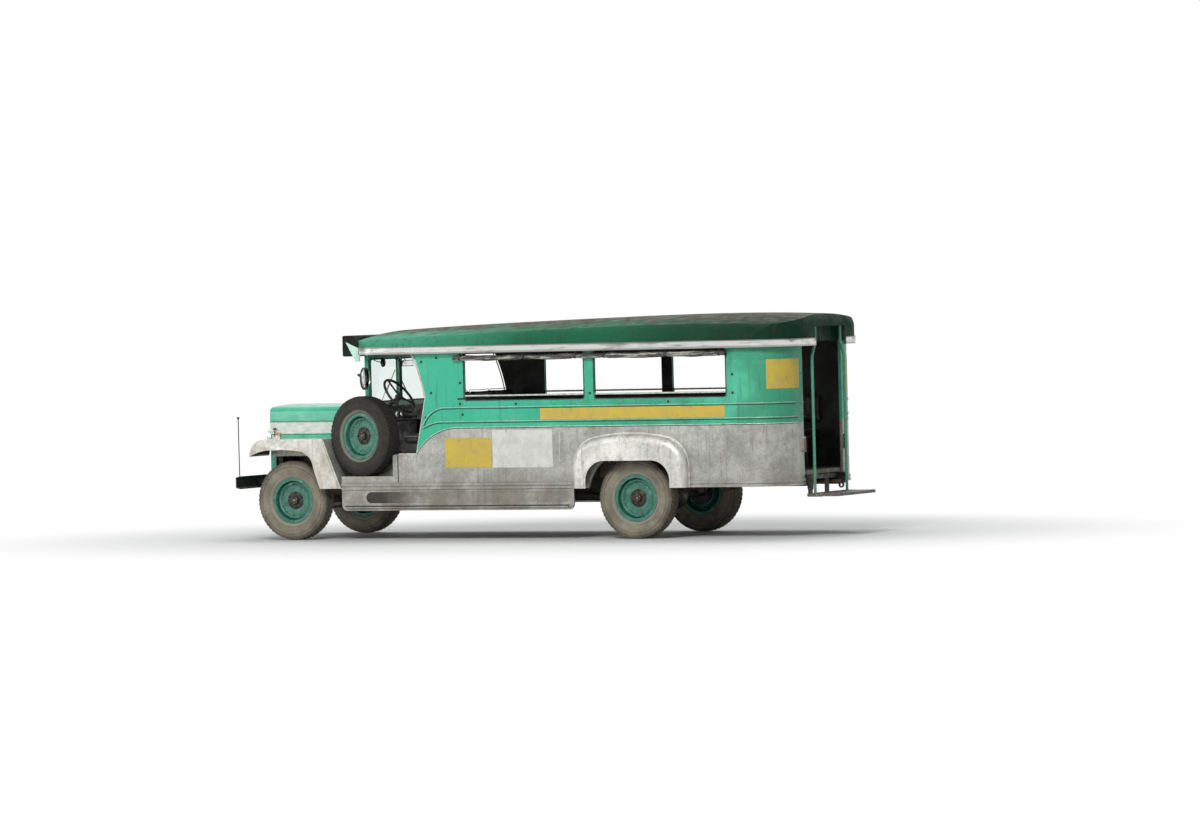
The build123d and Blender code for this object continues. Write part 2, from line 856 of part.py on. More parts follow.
with BuildPart() as lower_sides:
    add(lower_wall(toe_left))
    mirror(lower_wall(toe_right), about=Plane.XZ)
    # Recess for the spare wheel in the left side
    block(cowl_rear, toe_left, cowl_half_width - 10, cowl_half_width + 20, deck_top, sill_height)
    block(toe_left - wall, toe_left, cowl_half_width + 20, body_half_width - wall, deck_top, sill_height)
    block(toe_left - wall, toe_left, body_half_width - wall, body_half_width, deck_top, sill_height)

moulding = 12.0
moulding_foot = belt_start[0] + 75
moulding_rows = (
    # height, drop of its front curve, length of the curve
    (belt_height + 62, 58.0, 230.0),
    (belt_height + 202, 180.0, 260.0),
)

with BuildPart() as mouldings:
    extrude(plan_strip(belt_height, belt_start[0], body_half_width + 7, body_half_width), amount=300)
    with BuildSketch(side_plane(body_half_width + 20)) as bands:
        for level, drop, run in moulding_rows:
            radius = (run**2 + drop**2) / (2 * drop)
            turn = degrees(atan2(run, radius - drop))
            centre = (at(moulding_foot + run), level - radius)
            with BuildLine():
                upper_edge = CenterArc(centre, radius, 90, -turn)
                lower_edge = CenterArc(centre, radius - moulding, 90, -turn)
                Line(upper_edge @ 1, lower_edge @ 1)
                Line(upper_edge @ 0, (at(rear_wall + 30), level))
                Line((at(rear_wall + 30), level), (at(rear_wall + 30), level - moulding))
                Line((at(rear_wall + 30), level - moulding), lower_edge @ 0)
            make_face()
    extrude(bands.sketch, amount=body_half_width, mode=Mode.INTERSECT)

with BuildPart() as upper_sides:
    extrude(plan_strip(sill_height, 1400, body_half_width, body_half_width - wall),
            amount=wall_top - sill_height)
    # Cut away the door opening and what lies below the belt line
    with BuildSketch(side_plane(body_half_width + 20)):
        with BuildLine():
            Line((at(1300), wall_top + 5), (at(door_top), wall_top + 5))
            ThreePointArc((at(door_top), wall_top + 5), (at(1545), 1665), (at(door_bulge[0]), door_bulge[1]))
            Line((at(door_bulge[0]), door_bulge[1]), (at(belt_start[0]), belt_start[1]))
            TangentArc((at(belt_flat), belt_height), (at(belt_start[0]), belt_start[1]), tangent=(1, 0))
            Line((at(belt_flat), belt_height), (at(rear_wall + 50), belt_height))
            Line((at(rear_wall + 50), belt_height), (at(rear_wall + 50), 800))
            Line((at(rear_wall + 50), 800), (at(1300), 800))
            Line((at(1300), 800), (at(1300), wall_top + 5))
        make_face()
    extrude(amount=body_half_width, mode=Mode.SUBTRACT)
    with BuildSketch(side_plane(body_half_width + 20)):
        for front, rear in window_stations:
            with Locations((at((front + rear) / 2), (window_bottom + window_top) / 2)):
                RectangleRounded(rear - front, window_top - window_bottom, 24)
    extrude(amount=wall + 40, mode=Mode.SUBTRACT)
    add(mouldings.part)
    mirror(about=Plane.XZ)

# Side skirts with a pressed recess and a round bottom edge

skirt_bottom = 296.0
skirt_rear = wheelbase - fender_reach
skirt_tube = 30.0

with BuildPart() as side_skirts:
    with BuildSketch(side_plane(body_half_width)):
        with Locations((at((sill_front + skirt_rear) / 2), (skirt_bottom + body_bottom) / 2)):
            Rectangle(skirt_rear - sill_front, body_bottom - skirt_bottom)
    extrude(amount=20)
    fillet(side_skirts.edges().filter_by(Axis.Y).group_by(Axis.Z)[0], 60)
    with BuildSketch(side_plane(body_half_width)):
        with Locations((at((sill_front + 280 + skirt_rear - 40) / 2),
                        (skirt_bottom + body_bottom) / 2 + 25)):
            SlotOverall(skirt_rear - sill_front - 320, 110)
    extrude(amount=6, mode=Mode.SUBTRACT)
    with BuildSketch(cross_plane(skirt_rear - 60)):
        with Locations((body_half_width, skirt_bottom + skirt_tube)):
            Circle(skirt_tube / 2)
    extrude(amount=skirt_rear - sill_front - 120)
    mirror(about=Plane.XZ)

# Rear fenders: a bulge with a bead round it and the wheel's opening

fender_outer = 980.0
fender_round = 85.0
fender_crown = 1050.0
fender_corner = 300.0
fender_lean = 12.0
bead = 12.0
opening_half = 460.0
opening_top = 775.0


def arch_outline(inset):
    """Arched outline over the rear wheel on the body's side: two corner arcs and a flat arc over them."""
    reach = fender_reach - inset
    corner = fender_corner - inset
    lean = radians(fender_lean)
    top_radius = (reach - corner * (1 - sin(lean))) / sin(lean)
    rise = corner * cos(lean) + top_radius * (1 - cos(lean))
    shoulder = fender_crown - inset - rise
    with BuildSketch(side_plane(body_half_width)) as outline:
        with BuildLine():
            front = Line((rear_axle_x - reach, body_bottom), (rear_axle_x - reach, shoulder))
            first = JernArc(front @ 1, (0, 1), corner, fender_lean - 90)
            top = JernArc(first @ 1, first % 1, top_radius, -2 * fender_lean)
            last = JernArc(top @ 1, top % 1, corner, fender_lean - 90)
            Line(last @ 1, (rear_axle_x + reach, body_bottom))
            Line((rear_axle_x + reach, body_bottom), (rear_axle_x - reach, body_bottom))
        make_face()
    return outline.sketch


def fender_bulge(inset):
    """Rounded block over the rear wheel, smaller by an inset on its outer side and its arch."""
    with BuildPart(mode=Mode.PRIVATE) as bulge:
        extrude(arch_outline(bead + inset), amount=-(fender_outer - body_half_width - inset))
        outer_face = bulge.faces().sort_by(Axis.Y)[-1]
        rim_edges = outer_face.edges().filter_by_position(Axis.Z, body_bottom + 1, fender_crown)
        fillet(rim_edges, fender_round - inset)
    return bulge.part


with BuildPart() as rear_fenders:
    extrude(arch_outline(0), amount=-bead)
    add(fender_bulge(0))
    add(fender_bulge(sheet), mode=Mode.SUBTRACT)
    with BuildSketch(side_plane(fender_outer + 10)):
        with Locations((rear_axle_x, opening_top - 400)):
            RectangleRounded(2 * opening_half, 800, 200)
    extrude(amount=fender_outer + 9 - body_half_width, mode=Mode.SUBTRACT)
    mirror(about=Plane.XZ)

# Roof: a crowned shell with rounded plan corners, a dropped front edge and a rounded rear edge

roof_rows = (
    # station, crown height
    (700.0, 2078.0),
    (1600.0, 2122.0),
    (3000.0, 2163.0),
    (4500.0, 2188.0),
    (5800.0, 2150.0),
)
eave_top = eave_bottom + trim_height
front_corner = 250.0
rear_corner = 480.0
roof_top = 2195.0
roof_round = 170.0
doorway_header = 2040.0
front_header = 1990.0
cutout_half = 350.0


def roof_section(station, crown, inset):
    """Section across the roof, moved inwards by an inset."""
    half = roof_half_width - trim_thickness - inset
    edge = crown - 92
    top = crown - inset
    with BuildSketch(cross_plane(station)) as outline:
        with BuildLine():
            Line((-half, eave_bottom - 100), (half, eave_bottom - 100))
            for side in (1, -1):
                Line((side * half, eave_bottom - 100), (side * half, eave_top))
                ThreePointArc(
                    (side * half, eave_top),
                    (side * (half - 25), (eave_top + edge - inset) / 2 + 8),
                    (side * (half - 80), edge - inset),
                )
            ThreePointArc((-half + 80, edge - inset), (0, top), (half - 80, edge - inset))
        make_face()
    return outline.sketch


def roof_plan(height, inset):
    """Plan of the roof's edge, moved inwards by an inset."""
    front_x, rear_x = at(roof_front) - inset, at(roof_rear) + inset
    half = roof_half_width - inset
    with BuildSketch(Plane.XY.offset(height)) as outline:
        with BuildLine():
            front_radius, rear_radius = front_corner - inset, rear_corner - inset
            for side in (1, -1):
                Line((front_x, 0), (front_x, side * (half - front_radius)))
                Line((front_x - front_radius, side * half), (rear_x + rear_radius, side * half))
                Line((rear_x, side * (half - rear_radius)), (rear_x, 0))
            CenterArc((front_x - front_radius, half - front_radius), front_radius, 0, 90)
            CenterArc((rear_x + rear_radius, half - rear_radius), rear_radius, 90, 90)
            CenterArc((rear_x + rear_radius, rear_radius - half), rear_radius, 180, 90)
            CenterArc((front_x - front_radius, front_radius - half), front_radius, 270, 90)
        make_face()
    return outline.sketch


def cabin_plan(height, front, outer):
    """Plan of the cabin inside its walls."""
    radius = corner_radius + outer - body_half_width
    rear_x = at(side_end) - radius
    with BuildSketch(Plane.XY.offset(height)) as outline:
        with BuildLine():
            Line((at(front), -outer), (at(front), outer))
            for side in (1, -1):
                Line((at(front), side * outer), (at(side_end), side * outer))
                Line((rear_x, side * corner_y), (rear_x, 0))
            CenterArc((at(side_end), corner_y), radius, 90, 90)
            CenterArc((at(side_end), -corner_y), radius, 180, 90)
        make_face()
    return outline.sketch


with BuildPart() as roof_cavity:
    loft([roof_section(station, crown, roof_sheet) for station, crown in roof_rows])
    extrude(cabin_plan(eave_bottom - 100, roof_front + 70, body_half_width - wall - 5), amount=600,
            mode=Mode.INTERSECT)

with BuildPart() as roof_soffit:
    extrude(roof_plan(eave_bottom - 100, 2 * trim_thickness), amount=wall_top - eave_bottom + 100)
    block(roof_front - 50, roof_front + 70, -1000, 1000, eave_bottom - 110, wall_top + 10, mode=Mode.SUBTRACT)

with BuildPart() as roof_block:
    extrude(roof_plan(eave_bottom, trim_thickness), amount=roof_top - eave_bottom)
    fillet(roof_block.edges().group_by(Axis.Z)[-1], roof_round)

with BuildPart() as roof_shell:
    loft([roof_section(station, crown, 0) for station, crown in roof_rows])
    add(roof_block.part, mode=Mode.INTERSECT)
    # Sloping front edge
    with BuildSketch(side_plane(roof_half_width)):
        with BuildLine():
            Line((at(roof_front), eave_bottom), (at(roof_front), eave_top - 12))
            ThreePointArc(
                (at(roof_front), eave_top - 12),
                (at(roof_front + 60), eave_top + 78),
                (at(roof_front + 270), 2112),
            )
            Line((at(roof_front + 270), 2112), (at(roof_front + 400), 2260))
            Line((at(roof_front + 400), 2260), (at(roof_rear), 2260))
            Line((at(roof_rear), 2260), (at(roof_rear), eave_bottom))
            Line((at(roof_rear), eave_bottom), (at(roof_front), eave_bottom))
        make_face()
    extrude(amount=2 * roof_half_width, mode=Mode.INTERSECT)
    add(roof_cavity.part, mode=Mode.SUBTRACT)
    add(roof_soffit.part, mode=Mode.SUBTRACT)
    block(rear_wall + 10, roof_rear + 20, -cutout_half, cutout_half, eave_bottom - 10, doorway_header,
          mode=Mode.SUBTRACT)

with BuildPart() as roof_trim:
    extrude(roof_plan(eave_bottom, 0), amount=trim_height)
    extrude(roof_plan(eave_bottom - 1, trim_thickness), amount=trim_height + 2, mode=Mode.SUBTRACT)
    block(rear_wall, roof_rear + 20, -cutout_half, cutout_half, eave_bottom - 10, doorway_header,
          mode=Mode.SUBTRACT)
    block(roof_front - 20, roof_front + 40, -760, 760, eave_bottom - 10, front_header, mode=Mode.SUBTRACT)

sign_depth = 190.0
sign_half = 740.0
with BuildPart() as roof_signboard:
    block(roof_front + trim_thickness - 12 - sign_depth, roof_front + trim_thickness, -sign_half, sign_half,
          eave_bottom - 15, eave_bottom + 195)
    fillet(roof_signboard.edges().filter_by(Axis.Y), 18)
    for side in (1, -1):
        y_low, y_high = sorted((side * sign_half, side * (sign_half + sheet)))
        side_prism(
            (
                (roof_front - 150, eave_bottom + 130),
                (roof_front - 40, eave_bottom - 70),
                (roof_front + 10, eave_bottom - 70),
                (roof_front + 10, eave_bottom + 60),
            ),
            y_low,
            y_high,
        )

# Rails: window rails and the poles at the rear doorway

step_top = 420.0
pole_inset = 370.0
pole_head = 290.0
board = 30.0

with BuildPart() as grab_rails:
    for front, rear in window_stations:
        for side in (1, -1):
            with BuildSketch(cross_plane(rear)):
                with Locations((side * (body_half_width - wall / 2), window_bottom + 44)):
                    Circle(9)
            extrude(amount=rear - front)
    for side in (1, -1):
        with BuildLine() as pole_path:
            FilletPolyline(
                (at(rear_wall + 70), side * pole_inset, step_top),
                (at(rear_wall + 70), side * pole_inset, 1760),
                (at(rear_wall + 70), side * pole_head, 1885),
                (at(rear_wall + 70), side * pole_head, doorway_header),
                radius=70,
            )
        with BuildSketch(Plane(origin=pole_path.line @ 0, z_dir=pole_path.line % 0)):
            Circle(14)
        sweep(path=pole_path.line)

hand_rail_y = 300.0
hand_rail_z = 1880.0
hand_rail_front = 2050.0
hand_rail_rear = 5050.0
hanger_stations = (2100.0, 3050.0, 4050.0, 5000.0)

with BuildPart() as ceiling_rails:
    for side in (1, -1):
        with BuildSketch(cross_plane(hand_rail_rear)):
            with Locations((side * hand_rail_y, hand_rail_z)):
                Circle(12.5)
        extrude(amount=hand_rail_rear - hand_rail_front)
        for station in hanger_stations:
            with Locations((at(station), side * hand_rail_y, hand_rail_z)):
                Cylinder(9, 400, align=(Align.CENTER, Align.CENTER, Align.MIN))
    add(roof_cavity.part, mode=Mode.INTERSECT)

with BuildPart() as rear_step:
    block(rear_wall + 10, rear_overhang + wheelbase, -430, 430, step_top - board, step_top)
    fillet(rear_step.edges().filter_by(Axis.Y), 8)
    # Hangers from the last cross member
    for side in (1, -1):
        y_low, y_high = sorted((side * 170, side * 215))
        block(cross_member_stations[-1] - 30, rear_wall + 60, y_low, y_high,
              step_top - board - 12, step_top - board)
        block(cross_member_stations[-1] - 30, cross_member_stations[-1], y_low, y_high,
              step_top - board, deck_bottom - 50)

# Rolled rain curtains below the eaves

curtain_radius = 33.0
curtain_y = body_half_width + curtain_radius + seat
with BuildPart() as rain_curtains:
    for side in (1, -1):
        with BuildSketch(cross_plane(4950)):
            with Locations((side * curtain_y, eave_bottom - 47)):
                Circle(curtain_radius)
        extrude(amount=3000)

# Seats

seat_front = toe_left + 3
bench_front = 1960.0
bench_rear = 5170.0
bench_inner_y = 420.0
bench_height = 960.0
cushion = 80.0

with BuildPart() as bench_frames:
    for side in (1, -1):
        y_low, y_high = sorted((side * bench_inner_y, side * (body_half_width - wall)))
        block(bench_front, bench_rear, y_low, y_high, bench_height - board, bench_height)
        y_low, y_high = sorted((side * bench_inner_y, side * (bench_inner_y + board)))
        block(bench_front, bench_rear, y_low, y_high, deck_top, bench_height - board)
    # Box below the front seat
    block(seat_front, seat_front + 460, -790, 790, deck_top, bench_height)
    block(seat_front + board, seat_front + 430, -760, 760, deck_top - 1, bench_height - board,
          mode=Mode.SUBTRACT)
    block(seat_front + 460, seat_front + 490, -790, 790, deck_top, 1380)

with BuildPart() as bench_cushions:
    for side in (1, -1):
        y_low, y_high = sorted((side * (bench_inner_y + 8), side * 790))
        block(bench_front + 10, bench_rear - 10, y_low, y_high, bench_height + seat, bench_height + cushion)
        y_low, y_high = sorted((side * 792, side * (body_half_width - wall - seat)))
        block(bench_front + 10, bench_rear - 10, y_low, y_high,
              bench_height + cushion + 30, window_bottom - 20)

with BuildPart() as front_seats:
    for y_low, y_high in ((120, 780), (-780, 100)):
        block(seat_front + 5, seat_front + 380, y_low, y_high,
              bench_height + seat, bench_height + cushion + 20)
        block(seat_front + 385, seat_front + 460 - seat, y_low, y_high, bench_height + 40, 1480)

# Spare wheel beside the cowl, turned so that its rear edge stands out

spare_yaw = 13.0
spare_height = 1045.0
spare_out = (sin(radians(spare_yaw)), cos(radians(spare_yaw)), 0.0)
spare_face = (at(850), 920.0, spare_height)
spare_centre = tuple(c - n * tyre_width / 2 for c, n in zip(spare_face, spare_out))

with BuildPart() as spare_tyre:
    add_tyre(spare_centre, spare_out)
with BuildPart() as spare_rim:
    add_rim(spare_centre, spare_out, with_drum=False)

carrier_face = tuple(c - 54 * n for c, n in zip(spare_centre, spare_out))
with BuildPart() as spare_carrier:
    block(880, 950, cowl_half_width + 20, cowl_half_width + 40, deck_top, spare_height + 50)
    with BuildSketch(Plane(origin=carrier_face, z_dir=tuple(-n for n in spare_out))):
        Circle(36)
    extrude(amount=52)
    with BuildSketch(Plane(origin=carrier_face, z_dir=spare_out)):
        Circle(spindle_radius - seat)
    extrude(amount=70)

# Mirrors on the windshield posts

mirror_z = 1620.0
mirror_y = 920.0
mirror_station = 950.0
with BuildPart() as side_mirrors:
    with BuildSketch(cross_plane(mirror_station)):
        with Locations((mirror_y, mirror_z)):
            Ellipse(80, 112)
    extrude(amount=24)
    with BuildLine() as arm:
        FilletPolyline(
            (at(windshield + windshield_depth / 2), cowl_half_width - 10, mirror_z + 40),
            (at(windshield + windshield_depth / 2), mirror_y - 60, mirror_z + 40),
            (at(mirror_station - 24), mirror_y, mirror_z),
            radius=30,
        )
    with BuildSketch(Plane(origin=arm.line @ 0, z_dir=arm.line % 0)):
        Circle(8)
    sweep(path=arm.line)
    mirror(about=Plane.XZ)

# Dashboard with the steering column and its box, and the steering wheel

dash_half = 540.0
with BuildPart() as dashboard:
    side_prism(
        (
            (windshield - 10, hood_top - 36),
            (cowl_rear, hood_top - 36),
            (cowl_rear + 45, hood_top - 75),
            (cowl_rear + 45, 1180),
            (cowl_rear + 25, 1170),
            (windshield - 10, 1170),
        ),
        -dash_half,
        dash_half,
    )
    with BuildSketch(along_column(40)):
        Circle(column_radius)
    extrude(amount=column_length - 40)
    with BuildSketch(along_column(-10)):
        Circle(kingpin_radius)
    extrude(amount=60)
    block(220, 400, wheel_y - 30, wheel_y + 30, deck_bottom, 880)

with BuildPart() as steering_wheel:
    with BuildSketch(along_column(-16)):
        Circle(34)
    extrude(amount=50)
    with BuildSketch(Plane(origin=wheel_centre, x_dir=(0, 1, 0), z_dir=column_down)):
        with PolarLocations(wheel_rim_radius / 2 + 8, 3, start_angle=90):
            Rectangle(wheel_rim_radius - 22, 26)
    extrude(amount=8)
    with BuildSketch(Plane(origin=wheel_centre, x_dir=(0, 1, 0), z_dir=(column_down[2], 0, -column_down[0]))):
        with Locations((wheel_rim_radius, 0)):
            Circle(13)
    revolve(axis=Axis(wheel_centre, column_down))
    with BuildSketch(along_column(-10 - seat)):
        Circle(kingpin_radius + running)
    extrude(amount=60, mode=Mode.SUBTRACT)

# Lamps

with BuildPart() as lamps:
    for side in (1, -1):
        # Head lamps on the grille shell
        with BuildSketch(cross_plane(hood_front - moving)):
            with Locations((side * 385, 1040)):
                Circle(72)
        extrude(amount=45)
        # Side lamps on the fenders
        with Locations((at(-180), side * 740, fender_top + 20)):
            Cylinder(36, 40)
        # Tail lamps
        with BuildSketch(cross_plane(rear_wall)):
            with Locations((side * 480, 900)):
                RectangleRounded(48, 150, 12)
        extrude(amount=-25)

# Export

parts = {
    "tyre_front_left": tyre_front_left,
    "tyre_front_right": tyre_front_right,
    "tyre_rear_left": tyre_rear_left,
    "tyre_rear_right": tyre_rear_right,
    "rim_front_left": rim_front_left,
    "rim_front_right": rim_front_right,
    "rim_rear_left": rim_rear_left,
    "rim_rear_right": rim_rear_right,
    "knuckle_left": knuckle_left,
    "knuckle_right": knuckle_right,
    "tie_rod": tie_rod,
    "front_axle": front_axle,
    "rear_axle": rear_axle,
    "leaf_springs": leaf_springs,
    "chassis_rails": chassis_rails,
    "chassis_cross_members": chassis_cross_members,
    "engine_block": engine_block,
    "exhaust": exhaust,
    "fuel_tank": fuel_tank,
    "front_bumper": front_bumper,
    "front_fenders": front_fenders,
    "hood": hood,
    "grille": grille,
    "radiator": radiator,
    "cowl": cowl,
    "windshield_frame": windshield_frame,
    "windshield_glass": windshield_glass,
    "floor_deck": floor_deck,
    "lower_sides": lower_sides,
    "upper_sides": upper_sides,
    "side_skirts": side_skirts,
    "rear_fenders": rear_fenders,
    "roof_shell": roof_shell,
    "roof_trim": roof_trim,
    "roof_signboard": roof_signboard,
    "grab_rails": grab_rails,
    "ceiling_rails": ceiling_rails,
    "rear_step": rear_step,
    "rain_curtains": rain_curtains,
    "bench_frames": bench_frames,
    "bench_cushions": bench_cushions,
    "front_seats": front_seats,
    "spare_tyre": spare_tyre,
    "spare_rim": spare_rim,
    "spare_carrier": spare_carrier,
    "side_mirrors": side_mirrors,
    "dashboard": dashboard,
    "steering_wheel": steering_wheel,
    "lamps": lamps,
}

os.makedirs("parts", exist_ok=True)
for name, builder in parts.items():
    builder.part.label = name
    export_step(builder.part, f"parts/{name}.step")
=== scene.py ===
from math import atan2, cos, hypot, pi, radians, sin

import bmesh
import bpy
from mathutils import Matrix, Vector, noise


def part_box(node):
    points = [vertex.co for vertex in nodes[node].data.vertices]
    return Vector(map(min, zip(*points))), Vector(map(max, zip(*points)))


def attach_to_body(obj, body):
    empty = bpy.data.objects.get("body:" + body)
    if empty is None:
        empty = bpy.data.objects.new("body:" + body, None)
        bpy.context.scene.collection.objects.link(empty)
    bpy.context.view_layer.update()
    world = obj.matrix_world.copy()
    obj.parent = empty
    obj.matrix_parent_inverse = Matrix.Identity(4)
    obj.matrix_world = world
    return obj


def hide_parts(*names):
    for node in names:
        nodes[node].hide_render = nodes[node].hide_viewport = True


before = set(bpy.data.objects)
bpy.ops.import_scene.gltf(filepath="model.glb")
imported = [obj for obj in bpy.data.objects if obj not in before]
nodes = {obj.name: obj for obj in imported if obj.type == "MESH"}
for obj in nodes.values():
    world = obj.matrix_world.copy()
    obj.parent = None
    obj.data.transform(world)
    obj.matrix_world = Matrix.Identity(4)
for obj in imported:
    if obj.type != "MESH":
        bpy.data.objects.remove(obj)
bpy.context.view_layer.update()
scene = bpy.context.scene

# Places in metres, taken from the frame where it has them.
# A station is a distance behind the front axle, as in the part's source.

SIDES = ((1, "left"), (-1, "right"))
AHEAD = Vector((1, 0, 0))
LEFT = Vector((0, 1, 0))
UP = Vector((0, 0, 1))


def middle(node):
    """Centre of a CAD node's box."""
    low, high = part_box(node)
    return (low + high) / 2


front_wheel = middle("tyre_front_left")
rear_wheel = middle("tyre_rear_left")
tyre_radius = front_wheel.z
tyre_width = 0.195
wall_y = 0.88
wall = 0.03
side_end = 5.18
corner_radius = 0.37
corner_y = wall_y - corner_radius
rear_wall = side_end + corner_radius
belt = 1.118
sill = 0.854
body_bottom = 0.506
window_bottom = 1.386
window_top = 1.85
windows = ((2.04, 3.38), (3.49, 4.93))
eave_bottom = 1.857
eave_top = 1.932
deck_top = 0.64


def at(station):
    """X of a station."""
    return front_wheel.x - station


def point_at(station, y, z):
    return Vector((at(station), y, z))


def placed(place):
    """Point of the frame: a Vector as it is, or a tuple of (station, y, z)."""
    return place if isinstance(place, Vector) else point_at(*place)


# Materials: each is built from procedural nodes in object space, which is the row frame


class Nodes:
    """A node tree under construction."""

    def __init__(self, tree):
        self.tree = tree
        tree.nodes.clear()

    def feed(self, socket, value):
        """Links a socket or sets its value; a colour gets its alpha."""
        if isinstance(value, bpy.types.NodeSocket):
            self.tree.links.new(value, socket)
        else:
            socket.default_value = (*value, 1.0) if socket.type == "RGBA" else value

    def node(self, kind, **inputs):
        """New node. Inputs are named with underscores for spaces."""
        node = self.tree.nodes.new("ShaderNode" + kind)
        for name, value in inputs.items():
            self.feed(node.inputs[name.replace("_", " ")], value)
        return node

    def feed_all(self, node, *values):
        """Feeds a node's first inputs in order."""
        for socket, value in zip(node.inputs, values):
            self.feed(socket, value)
        return node.outputs[0]

    def maths(self, operation, a, b):
        node = self.node("Math")
        node.operation = operation
        return self.feed_all(node, a, b)

    def background_rays(self):
        """1 for the camera, glossy and transmission rays, which see the plain white background."""
        rays = self.node("LightPath").outputs
        seen = self.maths("MAXIMUM", rays["Is Camera Ray"], rays["Is Glossy Ray"])
        return self.maths("MAXIMUM", seen, rays["Is Transmission Ray"])


class Finish(Nodes):
    """A material under construction: a Principled shader, and the colour laid so far."""

    def __init__(self, name, colour, **values):
        self.material = bpy.data.materials.new(name)
        self.material.use_nodes = True
        super().__init__(self.material.node_tree)
        self.colour = colour
        self.out = self.node("OutputMaterial")
        self.shader = self.node("BsdfPrincipled", **values)
        self.tree.links.new(self.shader.outputs[0], self.out.inputs[0])
        self.place = self.node("TexCoord").outputs["Object"]
        self.facing = self.node("TexCoord").outputs["Normal"]

    def stretched(self, scale):
        """Object coordinates stretched by a scale on each axis."""
        return self.node("Mapping", Vector=self.place, Scale=scale).outputs[0]

    def noise(self, scale, detail, rough=0.55, stretch=(1, 1, 1)):
        return self.node("TexNoise", Vector=self.stretched(stretch), Scale=scale, Detail=detail,
                         Roughness=rough).outputs[0]

    def cells(self, scale, output="Color", stretch=(1, 1, 1)):
        return self.node("TexVoronoi", Vector=self.stretched(stretch), Scale=scale).outputs[output]

    def ramp(self, value, low, high, start=0.0, end=1.0):
        """A value mapped smoothly from low..high to start..end."""
        node = self.node("MapRange")
        node.interpolation_type = "SMOOTHSTEP"
        return self.feed_all(node, value, low, high, start, end)

    def times(self, a, b):
        return self.maths("MULTIPLY", a, b)

    def wavy(self, value, waves, depth):
        """A value with some of another added."""
        return self.maths("ADD", value, self.times(waves, depth))

    def band(self, value, rise, fall, share=1.0):
        """A share that rises and falls again with a value, on two ramps given from 0 to full."""
        return self.times(self.ramp(value, *rise, 0, share), self.ramp(value, *fall))

    def axis(self, name, source=None):
        return self.node("SeparateXYZ", Vector=source or self.place).outputs[name]

    def from_axis(self, centre, along):
        """Distance from the axis through a point."""
        value = self.place
        for operation, other in (("SUBTRACT", centre), ("CROSS_PRODUCT", along)):
            node = self.node("VectorMath")
            node.operation = operation
            value = self.feed_all(node, value, other)
        return self.length(value)

    def length(self, value):
        node = self.node("VectorMath")
        node.operation = "LENGTH"
        self.feed_all(node, value)
        return node.outputs["Value"]

    def mix(self, factor, a, b, blend="MIX"):
        node = self.node("Mix")
        node.data_type = "RGBA"
        node.blend_type = blend
        for socket, value in ((0, factor), (6, a), (7, b)):
            self.feed(node.inputs[socket], value)
        return node.outputs[2]

    def cover(self, other, share, blend="MIX"):
        """Lays a share of another colour over the colour so far."""
        self.colour = self.mix(share, self.colour, other, blend)

    def spots(self, other, scale, detail, low, high, share=1.0, **options):
        """Lays another colour where a noise runs from low to high."""
        self.cover(other, self.ramp(self.noise(scale, detail, **options), low, high, 0, share))

    def surface(self, source, smooth, rough, low=0.3, high=0.7):
        """Sets the colour, and a roughness that follows a noise."""
        self.feed(self.shader.inputs["Base Color"], self.colour)
        self.feed(self.shader.inputs["Roughness"], self.ramp(source, low, high, smooth, rough))

    def bump(self, height, distance=0.002, strength=1.0):
        """Sets the relief, which ends the material."""
        node = self.node("Bump", Height=height, Distance=distance, Strength=strength)
        self.feed(self.shader.inputs["Normal"], node.outputs[0])
        return self.material


DUST = (0.25, 0.215, 0.165)
GRIME = (0.040, 0.034, 0.026)
RUST = (0.16, 0.055, 0.02)
MINT = (0.022, 0.415, 0.245)
MINT_FADED = (0.07, 0.49, 0.31)
EMERALD = (0.020, 0.27, 0.145)
PRIMER = (0.46, 0.50, 0.43)
TYRE_BLACK = (0.018, 0.017, 0.016)


def panel_paint(name, fresh, faded, rear=None):
    """Weathered panel paint: fading, rain streaks, rust at chips and slightly wavy sheet."""
    f = Finish(name, fresh, Coat_Weight=0.12, Coat_Roughness=0.15)
    if rear:
        f.cover(rear, f.ramp(f.axis("X"), 0.6, -2.2))
    f.spots(faded, 1.7, 5, 0.42, 0.72)
    f.spots(GRIME, 26, 4, 0.53, 0.74, 0.4, stretch=(1, 1, 0.07))
    f.spots(PRIMER, 150, 3, 0.62, 0.72, 0.35)
    f.cover(RUST, f.times(f.ramp(f.noise(19, 6, 0.7), 0.66, 0.7), f.ramp(f.noise(3, 2), 0.5, 0.62)))
    f.surface(f.noise(8, 5), 0.24, 0.5)
    return f.bump(f.wavy(f.noise(2.6, 2), f.noise(60, 3), 0.02), 0.012)


def hood_paint():
    """The hood's mint paint with a worn pale band low on its sides."""
    f = Finish("hood_paint", MINT, Coat_Weight=0.3, Coat_Roughness=0.12)
    height = f.wavy(f.axis("Z"), f.noise(22, 5), 0.02)
    f.spots(MINT_FADED, 4, 5, 0.4, 0.75)
    f.spots((0.25, 0.5, 0.36), 40, 4, 0.5, 0.8, 0.5, stretch=(0.2, 1, 1))
    wear_and_highlight = f.ramp(f.noise(30, 4, stretch=(0.3, 1, 1)), 0.35, 0.7)
    pale = f.mix(wear_and_highlight, (0.66, 0.68, 0.62), (0.42, 0.52, 0.44))
    f.cover(pale, f.band(height, (1.074, 1.08), (1.198, 1.186)))
    f.cover(GRIME, f.band(height, (1.19, 1.2), (1.212, 1.2)))
    f.spots(RUST, 60, 5, 0.64, 0.7, 0.7, rough=0.7)
    f.surface(f.noise(9, 4), 0.22, 0.42)
    return f.bump(f.noise(3.4, 2), 0.01)


